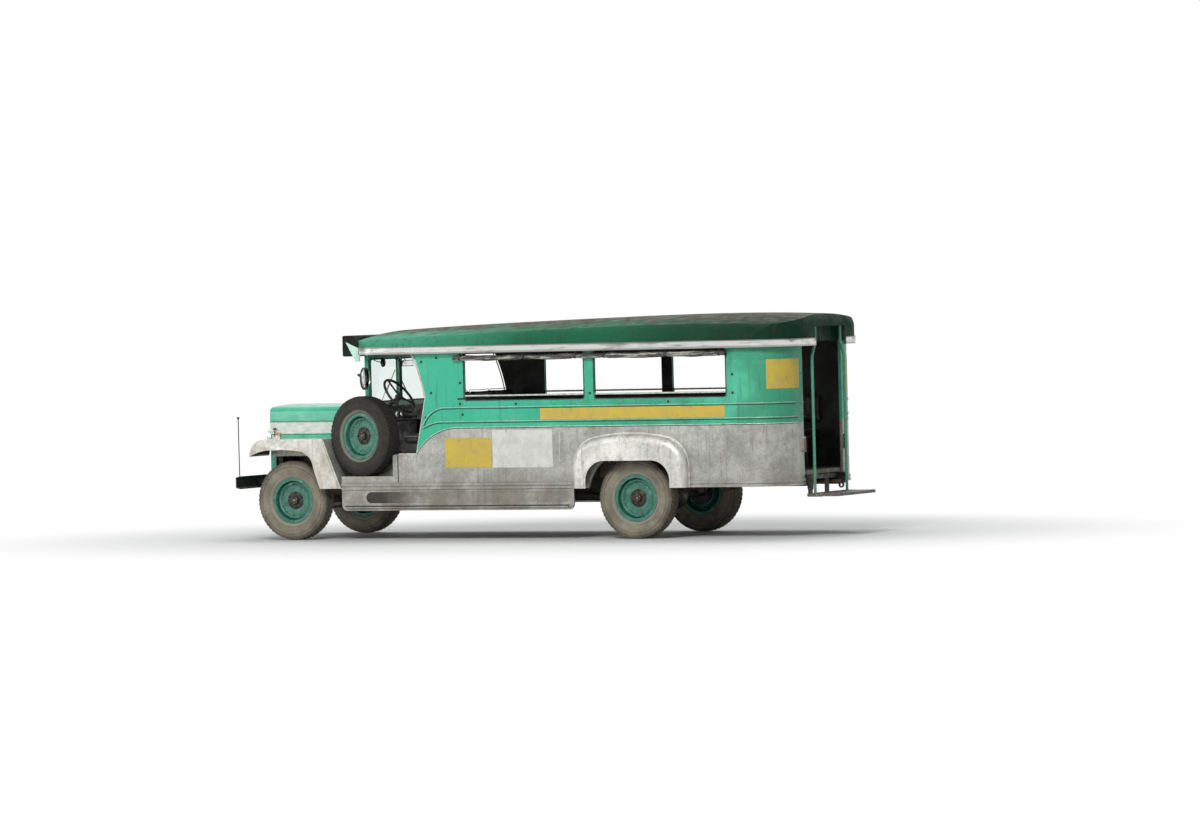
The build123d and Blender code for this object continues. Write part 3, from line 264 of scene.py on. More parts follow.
def galvanised(name, tint, bright, dirt, shade_at_front=False):
    """Bare zinc sheet: spangle, cloudy stains, drips, road dirt low down, and where asked painted shade at
    the front.
    """
    f = Finish(name, tint, Metallic=0.55)
    f.spots(bright, 3.2, 6, 0.35, 0.68, rough=0.65)
    f.cover(f.ramp(f.axis("X", f.cells(55)), 0.0, 1.0, 0.36, 0.60), 0.35, "OVERLAY")
    f.spots((0.20, 0.195, 0.175), 16, 6, 0.42, 0.72, 0.5, rough=0.75)
    f.spots((0.11, 0.09, 0.065), 30, 5, 0.55, 0.75, 0.45, stretch=(1, 1, 0.06))
    low_dirt = f.times(f.ramp(f.axis("Z"), 0.75, 0.42), f.ramp(f.noise(5, 5), 0.35, 0.65, 0.1, dirt))
    f.cover((0.17, 0.145, 0.11), low_dirt)
    if shade_at_front:
        # Painted shade: darkening towards the front, as cast by the skirt's front end.
        along = f.wavy(f.axis("X"), f.noise(6, 5), 0.5)
        f.cover((0.022, 0.020, 0.016), f.ramp(along, at(1.35), at(0.80), 0, 0.93))
    f.surface(f.noise(12, 5), 0.30, 0.55)
    return f.bump(f.wavy(f.noise(2.2, 2), f.noise(90, 3), 0.03), 0.01)


def roof_paint():
    """Roof paint: emerald sides darkening to the rear, with grey and brown grime on the crown."""
    f = Finish("roof_paint", (0.055, 0.28, 0.17), Specular_IOR_Level=0.08)
    along = f.wavy(f.axis("X"), f.noise(2, 3), 0.8)
    f.cover((0.013, 0.11, 0.052), f.ramp(along, 1.7, 0.1))
    f.cover((0.005, 0.030, 0.015), f.ramp(along, -0.2, -2.2))
    f.spots(GRIME, 28, 5, 0.5, 0.75, 0.55, stretch=(1, 1, 0.15))
    crown = f.wavy(f.axis("Z", f.facing), f.noise(6, 6, 0.7), 0.05)
    soot_and_shadow = f.mix(f.ramp(f.noise(14, 6, 0.7), 0.4, 0.65), (0.030, 0.027, 0.020), (0.085, 0.062, 0.038))
    soot_and_shadow = f.mix(f.ramp(f.noise(5, 4), 0.5, 0.7), soot_and_shadow, (0.030, 0.085, 0.052))
    f.cover(soot_and_shadow, f.ramp(crown, 1.006, 1.02))
    f.surface(f.noise(9, 5), 0.42, 0.68)
    return f.bump(f.wavy(f.noise(2.4, 3), f.noise(70, 3), 0.03), 0.014)


def bright_trim():
    """Polished sheet trim with dents, long dull streaks that are partly wear and partly painted reflection,
    and a painted shade line near each rolled edge.
    """
    f = Finish("bright_trim", (0.66, 0.67, 0.64), Metallic=1.0)
    wear_and_highlight = f.noise(9, 5, stretch=(0.35, 1, 2.5))
    # Long streaks along the trim: partly wear, partly painted reflection.
    f.cover((0.27, 0.26, 0.23), f.ramp(wear_and_highlight, 0.45, 0.7))
    height = f.wavy(f.axis("Z"), f.noise(5, 3, stretch=(0.4, 1, 1)), 0.012)
    top = f.maths("SUBTRACT", height, eave_top)
    # Dark lines at the top and the foot: painted shade of the rolled edges.
    f.cover((0.10, 0.10, 0.09), f.band(top, (-0.010, -0.002), (0.06, 0.04), 0.75))
    foot = f.maths("SUBTRACT", height, eave_bottom)
    f.cover((0.20, 0.20, 0.18), f.band(foot, (-0.04, -0.02), (0.030, 0.018), 0.6))
    f.surface(wear_and_highlight, 0.14, 0.34, 0.35)
    return f.bump(f.noise(1.6, 2, stretch=(0.6, 1, 5)), 0.03, 0.5)


def dark_steel(name, base, dust):
    """Black painted steel with dust on upward faces and worn spots."""
    f = Finish(name, base)
    f.spots((0.10, 0.075, 0.055), 24, 5, 0.5, 0.75, 0.35)
    upward = f.ramp(f.axis("Z", f.facing), 0.3, 1.0)
    f.cover(DUST, f.times(upward, f.ramp(f.noise(10, 5), 0.3, 0.7, 0, dust)))
    f.surface(f.noise(18, 4), 0.34, 0.7)
    return f.bump(f.noise(120, 3), 0.0012)


def rubber(name, centre, along, dust_colour, dust):
    """Tyre rubber about an axis: dusty sidewall, worn ring at the bead, darker shoulder and tread, and
    painted shade in the creases at the rim and the shoulder.
    """
    f = Finish(name, TYRE_BLACK, Specular_IOR_Level=0.2)
    radius = f.from_axis(centre, along)
    patches = f.ramp(f.noise(7, 6, 0.6), 0.25, 0.75, dust * 0.45, dust)
    f.cover(dust_colour, f.times(patches, f.ramp(radius, 0.345, 0.378, 1.0, 0.55)))
    f.spots(TYRE_BLACK, 60, 4, 0.5, 0.8, 0.3)
    wobble = f.wavy(radius, f.noise(24, 4), 0.012)
    f.cover((0.36, 0.34, 0.28), f.band(wobble, (0.238, 0.246), (0.274, 0.262), 0.5))
    # Painted shade: darker in the crease by the rim and in the groove at the shoulder.
    crease = f.maths("ADD", f.ramp(radius, 0.234, 0.226), f.band(radius, (0.337, 0.340), (0.345, 0.342)))
    f.cover(TYRE_BLACK, f.times(crease, 0.7))
    f.surface(f.noise(30, 4), 0.6, 0.85)
    return f.bump(f.noise(160, 3), 0.0012)


def plain(name, colour, other, roughness=0.5, metallic=0.0, scale=18, **values):
    """A colour with a mottled second tone and fine relief."""
    f = Finish(name, colour, Metallic=metallic, **values)
    f.spots(other, scale, 5, 0.4, 0.72, rough=0.65)
    f.surface(f.noise(scale * 0.7, 4), roughness * 0.75, min(1.0, roughness * 1.3))
    return f.bump(f.noise(scale * 6, 3), 0.0008)


def wheel_paint():
    """Green wheel paint under brake dust."""
    f = Finish("wheel_paint", (0.024, 0.16, 0.11))
    f.spots((0.085, 0.26, 0.19), 16, 5, 0.42, 0.7, rough=0.7)
    f.spots((0.05, 0.042, 0.03), 45, 5, 0.46, 0.7, 0.75, rough=0.7)
    f.surface(f.noise(14, 4), 0.35, 0.65)
    return f.bump(f.noise(70, 3), 0.001)


def clear_glass():
    f = Finish("windshield_glass", (0.80, 0.88, 0.85), Transmission_Weight=1.0, IOR=1.2)
    f.surface(f.noise(4, 5), 0.0, 0.12, 0.45, 0.8)
    return f.material


def film():
    """Clear rolled plastic film, dark, with creases along it whose pale streaks are painted highlights."""
    f = Finish("clear_film", (0.035, 0.030, 0.022), IOR=1.4, Roughness=0.16, Transmission_Weight=0.15,
               Coat_Weight=0.6, Coat_Roughness=0.06)
    # Pale streaks along the creases: painted highlights.
    f.spots((0.58, 0.57, 0.50), 34, 5, 0.46, 0.68, rough=0.7, stretch=(0.12, 1, 1))
    f.feed(f.shader.inputs["Base Color"], f.colour)
    return f.bump(f.noise(60, 4, stretch=(0.15, 1, 1)), 0.006)


def vinyl(name, base, wear_and_highlight):
    """Seat vinyl: fine grain, scuffs and dust."""
    f = Finish(name, base)
    f.spots(wear_and_highlight, 9, 6, 0.45, 0.75, rough=0.7)
    f.surface(f.noise(14, 4), 0.38, 0.6)
    return f.bump(f.cells(420, "Distance"), 0.0006)


def checker_plate():
    """Raised tread plate with dirt in its low parts."""
    f = Finish("floor_plate", (0.12, 0.115, 0.10), Metallic=0.6)
    ridges = f.ramp(f.cells(32, "Distance", stretch=(1, 2.4, 1)), 0.32, 0.14)
    f.cover((0.36, 0.355, 0.34), ridges)
    f.spots((0.11, 0.09, 0.07), 6, 5, 0.4, 0.7, 0.7)
    f.surface(f.noise(9, 4), 0.4, 0.7)
    return f.bump(ridges, 0.002)


def sticker(name, colour, other):
    """A blank painted or stuck-on sign, scuffed and stained."""
    f = Finish(name, colour, Roughness=0.45)
    f.spots(other, 7, 6, 0.35, 0.72, rough=0.7)
    f.spots((0.12, 0.10, 0.07), 38, 5, 0.58, 0.72, 0.6, rough=0.75, stretch=(1, 1, 0.3))
    f.feed(f.shader.inputs["Base Color"], f.colour)
    return f.bump(f.noise(25, 4), 0.0015)


def mirror():
    """Silvered glass with smudges and specks of dust."""
    f = Finish("mirror_glass", (0.72, 0.75, 0.75), Metallic=1.0)
    f.spots((0.30, 0.28, 0.24), 160, 4, 0.62, 0.7, 0.6)
    f.surface(f.noise(22, 5), 0.02, 0.28, 0.45, 0.7)
    return f.bump(f.noise(40, 2), 0.0002)


def lens(name, colour):
    """Moulded lens with flutes, whose darker half is painted shade, and a film of dust."""
    f = Finish(name, colour, Transmission_Weight=0.55, Coat_Weight=0.5)
    ribs = f.noise(95, 2, stretch=(1, 1, 0.15))
    # Darker half of each flute: painted shade.
    f.cover(tuple(0.55 * part for part in colour), f.ramp(ribs, 0.4, 0.6))
    f.spots(DUST, 30, 5, 0.5, 0.8, 0.4)
    f.surface(ribs, 0.05, 0.25)
    return f.bump(ribs, 0.002)


mint = panel_paint("green_paint", MINT, MINT_FADED, EMERALD)
cowl_paint = panel_paint("cowl_paint", MINT, MINT_FADED)
# Pale mint: the signboard's green as it looks in light, for its end plates: painted light.
lit_fin_mint = panel_paint("lit_fin_mint", (0.50, 0.76, 0.64), (0.62, 0.84, 0.74))
hood_finish = hood_paint()
zinc = galvanised("galvanised", (0.30, 0.30, 0.272), (0.47, 0.475, 0.435), 0.75)
# Darker copy of the zinc for the skirts' recess: painted shade, deepest at the front.
shaded_recess_zinc = galvanised("shaded_recess_zinc", (0.22, 0.215, 0.185), (0.36, 0.355, 0.31), 0.5, shade_at_front=True)
fender_zinc = galvanised("fender_zinc", (0.48, 0.45, 0.38), (0.72, 0.715, 0.67), 0.35)
bright_zinc = galvanised("bright_zinc", (0.58, 0.58, 0.54), (0.78, 0.77, 0.72), 0.3)
roof_finish = roof_paint()
chrome = bright_trim()
black = dark_steel("black_steel", (0.014, 0.013, 0.012), 0.5)
frame_black = dark_steel("frame_black", (0.016, 0.014, 0.012), 0.8)
iron = plain("cast_iron", (0.05, 0.046, 0.04), (0.11, 0.075, 0.045), 0.6, 0.5)
rusty = plain("rusty_steel", (0.13, 0.07, 0.04), (0.05, 0.035, 0.025), 0.75, 0.3)
steel = plain("worn_steel", (0.35, 0.34, 0.32), (0.12, 0.10, 0.08), 0.42, 0.85)
hub_grease = plain("hub_grease", (0.02, 0.017, 0.014), (0.075, 0.06, 0.04), 0.5, 0.3, 60)
wheel_green = wheel_paint()
tread_rubber = plain("tread_rubber", (0.020, 0.019, 0.018), (0.16, 0.14, 0.10), 0.8, 0.0, 9)
# Near-black green: the signboard's green as it looks in shade: painted shade.
shaded_board_paint = plain("shaded_board_paint", (0.006, 0.009, 0.007), (0.018, 0.030, 0.023), 0.6, 0.0, 8,
                    Specular_IOR_Level=0.15)
rail_paint = plain("rail_paint", (0.62, 0.64, 0.58), (0.34, 0.38, 0.32), 0.35, 0.2, 26)
pole_paint = plain("pole_paint", (0.05, 0.27, 0.165), (0.10, 0.34, 0.22), 0.35, 0.0, 26)
pale_edge = plain("pale_edge", (0.50, 0.72, 0.60), (0.16, 0.48, 0.31), 0.4, 0.1, 22)
dark_lining = plain("dark_lining", (0.022, 0.022, 0.02), (0.045, 0.042, 0.036), 0.7, 0.0, 5)
piping = plain("seat_piping", (0.25, 0.24, 0.21), (0.12, 0.11, 0.09))
plastic = plain("interior_plastic", (0.018, 0.018, 0.018), (0.045, 0.042, 0.038), 0.55)
black_rubber = plain("black_rubber", (0.013, 0.013, 0.013), (0.05, 0.045, 0.04), 0.65)
white_rubber = plain("white_rubber", (0.62, 0.62, 0.58), (0.32, 0.30, 0.25))
sealant = plain("sealant", (0.60, 0.60, 0.56), (0.42, 0.42, 0.38), 0.6)
glass = clear_glass()
curtain_film = film()
seat_vinyl = vinyl("seat_vinyl", (0.035, 0.016, 0.012), (0.10, 0.06, 0.045))
front_vinyl = vinyl("front_vinyl", (0.02, 0.02, 0.022), (0.07, 0.065, 0.06))
plate = checker_plate()
yellow_sign = sticker("yellow_sign", (0.56, 0.41, 0.045), (0.45, 0.34, 0.08))
white_sign = sticker("white_sign", (0.64, 0.64, 0.60), (0.50, 0.50, 0.46))
clear_lens = lens("clear_lens", (0.85, 0.88, 0.86))
amber_lens = lens("amber_lens", (0.85, 0.25, 0.01))
red_lens = lens("red_lens", (0.45, 0.01, 0.008))
mirror_glass = mirror()

# Finishes of the CAD nodes
CAD_FINISHES = (
    (frame_black, "knuckle_left knuckle_right tie_rod front_axle rear_axle chassis_rails"
                  " chassis_cross_members fuel_tank spare_carrier"),
    (black, "front_bumper side_mirrors"),
    (iron, "engine_block radiator"),
    (rusty, "leaf_springs exhaust"),
    (wheel_green, "rim_front_left rim_front_right rim_rear_left rim_rear_right spare_rim"),
    (tread_rubber, "tyre_front_left tyre_front_right tyre_rear_left tyre_rear_right spare_tyre"),
    (cowl_paint, "grille cowl windshield_frame"),
    (hood_finish, "hood"),
    (mint, "upper_sides"),
    (roof_finish, "roof_shell"),
    (shaded_board_paint, "roof_signboard"),
    (rail_paint, "grab_rails ceiling_rails"),
    (zinc, "lower_sides side_skirts"),
    (fender_zinc, "front_fenders"),
    (bright_zinc, "rear_fenders"),
    (chrome, "roof_trim lamps"),
    (plate, "floor_deck rear_step"),
    (glass, "windshield_glass"),
    (curtain_film, "rain_curtains"),
    (dark_lining, "bench_frames"),
    (seat_vinyl, "bench_cushions"),
    (front_vinyl, "front_seats"),
    (plastic, "dashboard steering_wheel"),
)
for material, names in CAD_FINISHES:
    for name in names.split():
        mesh = nodes[name].data
        mesh.materials.clear()
        mesh.materials.append(material)


def second_finish(name, material, test):
    """Gives the faces of a CAD node that pass a test on their centre and normal another material."""
    mesh = nodes[name].data
    mesh.materials.append(material)
    slot = len(mesh.materials) - 1
    for face in mesh.polygons:
        if test(face.center, face.normal):
            face.material_index = slot


def towards_cabin(point, normal):
    """True for a wall face that looks into the cabin."""
    if point.x > at(side_end):
        return normal.y * point.y < 0 and abs(point.y) < wall_y - 0.02
    out = Vector((point.x - at(side_end), abs(point.y) - corner_y, 0))
    facing = Vector((out.x, out.y if point.y > 0 else -out.y, 0))
    return out.length < corner_radius - 0.02 and normal.dot(facing) < 0


def in_recess(point, normal):
    """True for the floor of a skirt's recess."""
    return wall_y - 0.02 < abs(point.y) < wall_y - 0.001 and body_bottom - 0.02 > point.z > 0.36


cabin_middle = point_at(3.2, 0.0, 1.4)
second_finish("upper_sides", dark_lining, towards_cabin)
second_finish("lower_sides", dark_lining, towards_cabin)
second_finish("roof_shell", dark_lining, lambda point, normal: normal.dot(point - cabin_middle) < 0)
second_finish("front_fenders", black, lambda point, normal: normal.z < -0.15 and point.z > 0.86)
second_finish("front_fenders", cowl_paint, lambda point, normal: abs(point.y) < 0.565 and point.z > 1.02)
second_finish("rear_fenders", black, lambda point, normal: normal.y * point.y < 0)
second_finish("hood", black, lambda point, normal: normal.z < -0.2)
second_finish("cowl", black, lambda point, normal: normal.x < -0.4)
second_finish("grab_rails", pole_paint, lambda point, normal: point.x < at(rear_wall))
second_finish("side_skirts", shaded_recess_zinc, in_recess)
# The signboard's end plates get the lit copy of its green as painted light; the rest keeps the shaded copy.
second_finish("roof_signboard", lit_fin_mint, lambda point, normal: abs(point.y) > 0.7401)

SPARE_YAW = radians(13)
# name of the corner, wheel's centre, outward direction, body
WHEELS = [(f"{end}_{name}", Vector((wheel.x, side * wheel.y, wheel.z)), LEFT * side, f"wheel_{end}_{name}")
          for end, wheel in (("front", front_wheel), ("rear", rear_wheel)) for side, name in SIDES]
WHEELS.append(("spare", middle("spare_tyre"), Vector((sin(SPARE_YAW), cos(SPARE_YAW), 0)), "root"))


def near_hub(centre, outward):
    """Test for a wheel's hub and lugs."""
    def test(point, normal):
        away = point - centre
        depth = away.dot(outward)
        radius = (away - outward * depth).length
        return radius < 0.057 or (radius < 0.09 and depth > 0.0145)
    return test


for corner, centre, outward, body in WHEELS:
    rim = "spare_rim" if corner == "spare" else f"rim_{corner}"
    second_finish(rim, hub_grease, near_hub(centre, outward))

# Shapes: vertices and faces gathered in the row frame, made into one object

HEXA = ((0, 1, 3, 2), (4, 6, 7, 5), (0, 4, 5, 1), (2, 3, 7, 6), (0, 2, 6, 4), (1, 5, 7, 3))


def circle(count):
    """Cosine and sine of evenly spaced angles."""
    return [(cos(2 * pi * k / count), sin(2 * pi * k / count)) for k in range(count)]


def put(name, data):
    """New object in the scene."""
    obj = bpy.data.objects.new(name, data)
    scene.collection.objects.link(obj)
    return obj


def attach(obj, body, node):
    """Puts a piece on a body, in place of a CAD node."""
    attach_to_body(obj, body)
    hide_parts(node)


class Shape:
    """Gathers solids in the row frame. Their places are what placed() takes."""

    def __init__(self):
        self.verts = []
        self.faces = []

    def add(self, verts, faces):
        first = len(self.verts)
        self.verts.extend(tuple(v) for v in verts)
        self.faces.extend(tuple(first + i for i in face) for face in faces)
        return self

    def box(self, centre, size, turn=None):
        corners = [Vector((x, y, z)) * Vector(size) / 2 for z in (-1, 1) for y in (-1, 1) for x in (-1, 1)]
        return self.add([placed(centre) + (turn @ c if turn else c) for c in corners], HEXA)

    def rings(self, rings, closed=False):
        """Skin over rings of equal length. The ends are capped, or joined where closed."""
        count = len(rings[0])
        faces = []
        for i in range(len(rings) if closed else len(rings) - 1):
            a, b = i * count, (i + 1) % len(rings) * count
            for j in range(count):
                k = (j + 1) % count
                faces.append((a + j, a + k, b + k, b + j))
        if not closed:
            last = (len(rings) - 1) * count
            faces += [tuple(reversed(range(count))), tuple(range(last, last + count))]
        return self.add([v for ring in rings for v in ring], faces)

    def tube(self, path, radius, sides=10, closed=False):
        """Round tube along a path, with flat ends."""
        path = [placed(p) for p in path]
        count = len(path)
        rings = []
        across = None
        for i, point in enumerate(path):
            before = path[i - 1] if (i or closed) else point
            after = path[(i + 1) % count] if (i < count - 1 or closed) else point
            along = (after - before).normalized()
            if across is None:
                across = along.orthogonal().normalized()
            across = (across - along * across.dot(along)).normalized()
            other = along.cross(across)
            rings.append([point + radius * (c * across + s * other) for c, s in circle(sides)])
        return self.rings(rings, closed)

    def lathe(self, centre, axis, profile, segments=32):
        """Turned solid: profile rows are (distance along the axis, radius)."""
        centre, axis = placed(centre), Vector(axis).normalized()
        across = axis.orthogonal().normalized()
        other = axis.cross(across)
        return self.rings([[centre + axis * along + radius * (c * across + s * other)
                            for c, s in circle(segments)] for along, radius in profile])

    def bolt(self, point, normal, radius=0.007, height=0.004):
        """Domed bolt head or rivet."""
        return self.lathe(point, normal, ((-0.001, radius), (height * 0.5, radius * 0.95),
                                          (height * 0.9, radius * 0.6), (height, radius * 0.15)), 8)

    def plate(self, front, rear, bottom, top, thickness=0.0012, side=1, columns=1):
        """Thin plate lying on the outer wall."""
        corners = ((bottom, 0), (top, 0), (top, thickness), (bottom, thickness))
        stations = [front + (rear - front) * i / columns for i in range(columns + 1)]
        return self.rings([[wall_point(s, z, out, side)[0] for z, out in corners] for s in stations])

    def mesh(self, name, smooth=40):
        mesh = bpy.data.meshes.new(name)
        mesh.from_pydata(self.verts, [], self.faces)
        mesh.update()
        work = bmesh.new()
        work.from_mesh(mesh)
        bmesh.ops.recalc_face_normals(work, faces=work.faces)
        work.to_mesh(mesh)
        work.free()
        if smooth:
            mesh.shade_smooth()
            mesh.set_sharp_from_angle(angle=radians(smooth))
        return mesh

    def build(self, name, material, body="root", smooth=40, bevel=0.0):
        obj = put(name, self.mesh(name, smooth))
        obj.data.materials.append(material)
        if bevel:
            edge = obj.modifiers.new("edge", "BEVEL")
            edge.width = bevel
            edge.segments = 2
            edge.limit_method = "ANGLE"
        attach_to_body(obj, body)
        return obj


def wall_point(station, height, out=0.0, side=1):
    """Point on the body's outer wall and its normal, also round the rear corner."""
    if station <= side_end:
        return point_at(station, side * (wall_y + out), height), Vector((0, side, 0))
    angle = min((station - side_end) / corner_radius, pi / 2)
    normal = Vector((-sin(angle), side * cos(angle), 0))
    beyond = max(0.0, station - side_end - corner_radius * pi / 2)
    return point_at(side_end, side * (corner_y - beyond), height) + normal * (corner_radius + out), normal


def wall_line(points, out, side):
    """The wall's points at (station, height) pairs."""
    return [wall_point(s, z, out, side)[0] for s, z in points]


def rounded_loop(half_u, half_v, radius, first=0):
    """Points round a rounded rectangle about the origin, from a corner: 0 is where both are positive."""
    loop = []
    for corner in range(first, first + 4):
        u = (half_u - radius) * (1 if corner % 4 in (0, 3) else -1)
        v = (half_v - radius) * (1 if corner % 4 in (0, 1) else -1)
        for k in range(5):
            angle = pi / 2 * (corner + k / 4)
            loop.append((u + radius * cos(angle), v + radius * sin(angle)))
    return loop


# Tyres: rounded carcass with ribbed sidewalls and block tread
BLOCKS = 54
BLOCK_PITCH = 2 * pi / BLOCKS
GROOVE = 0.009
BLOCK_SKEW = 0.35
BLOCK_EDGE = 0.0006
TREAD_ROWS = (
    # inner y, outer y, share of the pitch, offset in pitches, depth of the top, drop of its outer edge
    (0.004, 0.026, 0.80, 0.0, 0.0008, 0.0),
    (0.031, 0.053, 0.74, 0.35, 0.0008, 0.0),
    (0.058, 0.0795, 0.60, 0.7, 0.0035, 0.004),
)
# y and radius of each ring; sections as (radius, y)
RAISED_RINGS = ((0.0962, 0.336), (0.0905, 0.262))
RING_SECTION = ((-0.002, -0.003), (0.002, -0.003), (0.0012, 0.0009), (-0.0012, 0.0009))
RIB_SECTION = ((0.350, 0.0925), (0.350, 0.0955), (0.379, 0.081), (0.379, 0.0842))


def around(radius, y, angle):
    """Point at a radius and an angle about the Y axis."""
    return Vector((radius * sin(angle), y, radius * cos(angle)))


def tyre_mesh():
    """Tyre about the Y axis, outward side at +Y."""
    crown = tyre_radius - GROOVE
    profile = [
        # y, radius
        (0.060, 0.2055), (0.0645, 0.232), (0.078, 0.243), (0.090, 0.268), (0.0965, 0.300), (0.0972, 0.322),
        (0.0945, 0.342), (0.0955, 0.345), (0.0915, 0.358), (0.086, 0.372), (0.080, 0.3835),
        (0.074, crown - 0.002),
    ]
    profile = [(min(y, tyre_width / 2), r) for y, r in profile]
    loop = [(-y, r) for y, r in profile] + [(-0.03, crown), (0.03, crown)] + profile[::-1]
    turns = [BLOCK_PITCH * k / 2 for k in range(2 * BLOCKS)]
    shape = Shape().rings([[around(r, y, a) for y, r in loop] for a in turns], closed=True)
    for side, _ in SIDES:
        for inner, outer, share, shift, depth, drop in TREAD_ROWS:
            top, skew = tyre_radius - depth, side * BLOCK_SKEW * BLOCK_PITCH
            rows = ((crown - 0.012, inner, 0.0), (crown - 0.012, outer, skew),
                    (top, inner + BLOCK_EDGE, 0.0), (top - drop, outer - BLOCK_EDGE, skew))
            for k in range(BLOCKS):
                start = BLOCK_PITCH * (k + shift)
                shape.add([around(r, side * y, angle + twist) for r, y, twist in rows
                           for angle in (start, start + BLOCK_PITCH * share)], HEXA)
    # Raised rings and short ribs on the sidewalls
    for side, _ in SIDES:
        for y, radius in RAISED_RINGS:
            shape.rings([[around(radius + dr, side * (y + dy), a) for dr, dy in RING_SECTION] for a in turns],
                        closed=True)
        for a in turns:
            shape.add([around(r, side * y, a + d) for r, y in RIB_SECTION for d in (-0.009, 0.009)], HEXA)
    return shape.mesh("tyre_tread", 34)


# colour of the dust, its share
ROAD_DUST = ((0.36, 0.32, 0.24), 0.88)
SPARE_DUST = ((0.13, 0.125, 0.10), 0.24)
HUB_FACE = 0.0435
HUB_CAP = ((0, 0.016), (0.004, 0.016), (0.0055, 0.012), (0.0055, 0.002))
WHEEL_BOLTS = (
    # count, circle's radius, distance out, head's radius and height
    (6, 0.033, 0.0505, 0.004, 0.004),
    (12, 0.146, 0.030, 0.006, 0.0045),
)
plain_tyre = tyre_mesh()
for corner, centre, outward, body in WHEELS:
    spare = corner == "spare"
    mesh = plain_tyre.copy()
    dust = SPARE_DUST if spare else ROAD_DUST
    mesh.materials.append(rubber(f"rubber_{corner}", centre, outward, *dust))
    turn = atan2(outward.y, outward.x) - pi / 2
    mesh.transform(Matrix.Translation(centre) @ Matrix.Rotation(turn, 4, "Z"))
    attach(put(f"treaded_tyre_{corner}", mesh), body, "spare_tyre" if spare else f"tyre_{corner}")
    stem = centre + outward * 0.036 + UP * 0.17
    path = [stem - outward * 0.02, stem + outward * 0.012, stem + outward * 0.03 - UP * 0.008]
    Shape().tube(path, 0.0035, 8).build(f"valve_{corner}", black_rubber, body)
    across = UP.cross(outward)
    bolts = Shape().lathe(centre + outward * HUB_FACE, outward, HUB_CAP, 24)
    for count, distance, out, radius, height in WHEEL_BOLTS:
        for k in range(count):
            a = 2 * pi * (k + 0.5) / count
            spot = centre + distance * (cos(a) * across + sin(a) * UP) + outward * out
            bolts.bolt(spot, outward, radius, height)
    bolts.build(f"hub_bolts_{corner}", steel, body)

# Body trim


def arc_points(start, middle_point, end, steps=12):
    """Points along the arc through three (station, height) points."""
    (ax, ay), (bx, by), (cx, cy) = start, middle_point, end
    d = 2 * (ax * (by - cy) + bx * (cy - ay) + cx * (ay - by))
    a, b, c = ax**2 + ay**2, bx**2 + by**2, cx**2 + cy**2
    ux = (a * (by - cy) + b * (cy - ay) + c * (ay - by)) / d
    uy = (a * (cx - bx) + b * (ax - cx) + c * (bx - ax)) / d
    radius = hypot(ax - ux, ay - uy)
    first, last = atan2(ay - uy, ax - ux), atan2(cy - uy, cx - ux)
    turns = [first + (last - first) * i / steps for i in range(steps + 1)]
    return [(ux + radius * cos(turn), uy + radius * sin(turn)) for turn in turns]


def rising_curve(foot, level, run, drop, inset=0.0, steps=12):
    """(station, height) points of an arc that rises from its foot and ends level, moved in by an inset."""
    radius = (run**2 + drop**2) / (2 * drop)
    turns = [atan2(run, radius - drop) * (1 - k / steps) for k in range(steps + 1)]
    near = radius - inset
    return [(foot + run - near * sin(a), level - radius + near * cos(a)) for a in turns]


BELT_START = (1.49, 0.868)
BELT_RUN = 0.46
belt_curve = rising_curve(BELT_START[0], belt, BELT_RUN, belt - BELT_START[1], steps=14)
belt_line = belt_curve + [(2.2 + 0.1 * i, belt) for i in range(36)]
door_edge = arc_points((1.465, 1.857), (1.545, 1.665), (1.605, 1.43)) + [(1.549, 1.15), (1.497, 0.89)]
DOOR_FOOT = {1: 1.262, -1: 0.86}
DOOR_SEAL_Y = wall_y - 0.012
WINDOW_CORNER = 0.026

for side, name in SIDES:
    path = [point_at(s - 0.006, side * DOOR_SEAL_Y, z) for s, z in door_edge]
    path += [point_at(s, side * DOOR_SEAL_Y, sill + 0.004) for s in (1.482, DOOR_FOOT[side] + 0.02)]
    edge = Shape().tube(path, 0.010, 8)
    edge.tube([point + Vector((0.022, -side * 0.012, 0)) for point in path[:13]], 0.006, 8)
    edge.build(f"door_rubber_{name}", white_rubber)
    # Bead where the painted and bare panels meet
    Shape().tube(wall_line(belt_line, 0.002, side), 0.005, 6).build(f"belt_bead_{name}", pale_edge)
    for index, (front, rear) in enumerate(windows):
        seal = Shape()
        loop = rounded_loop((rear - front) / 2, (window_top - window_bottom) / 2, WINDOW_CORNER, 2)
        s, z = (front + rear) / 2, (window_bottom + window_top) / 2
        for y in (wall_y + 0.001, wall_y - wall - 0.001):
            seal.tube([(s + u, side * y, z + v) for u, v in loop], 0.0055, 6, closed=True)
        seal.build(f"window_rubber_{name}_{index + 1}", black_rubber)

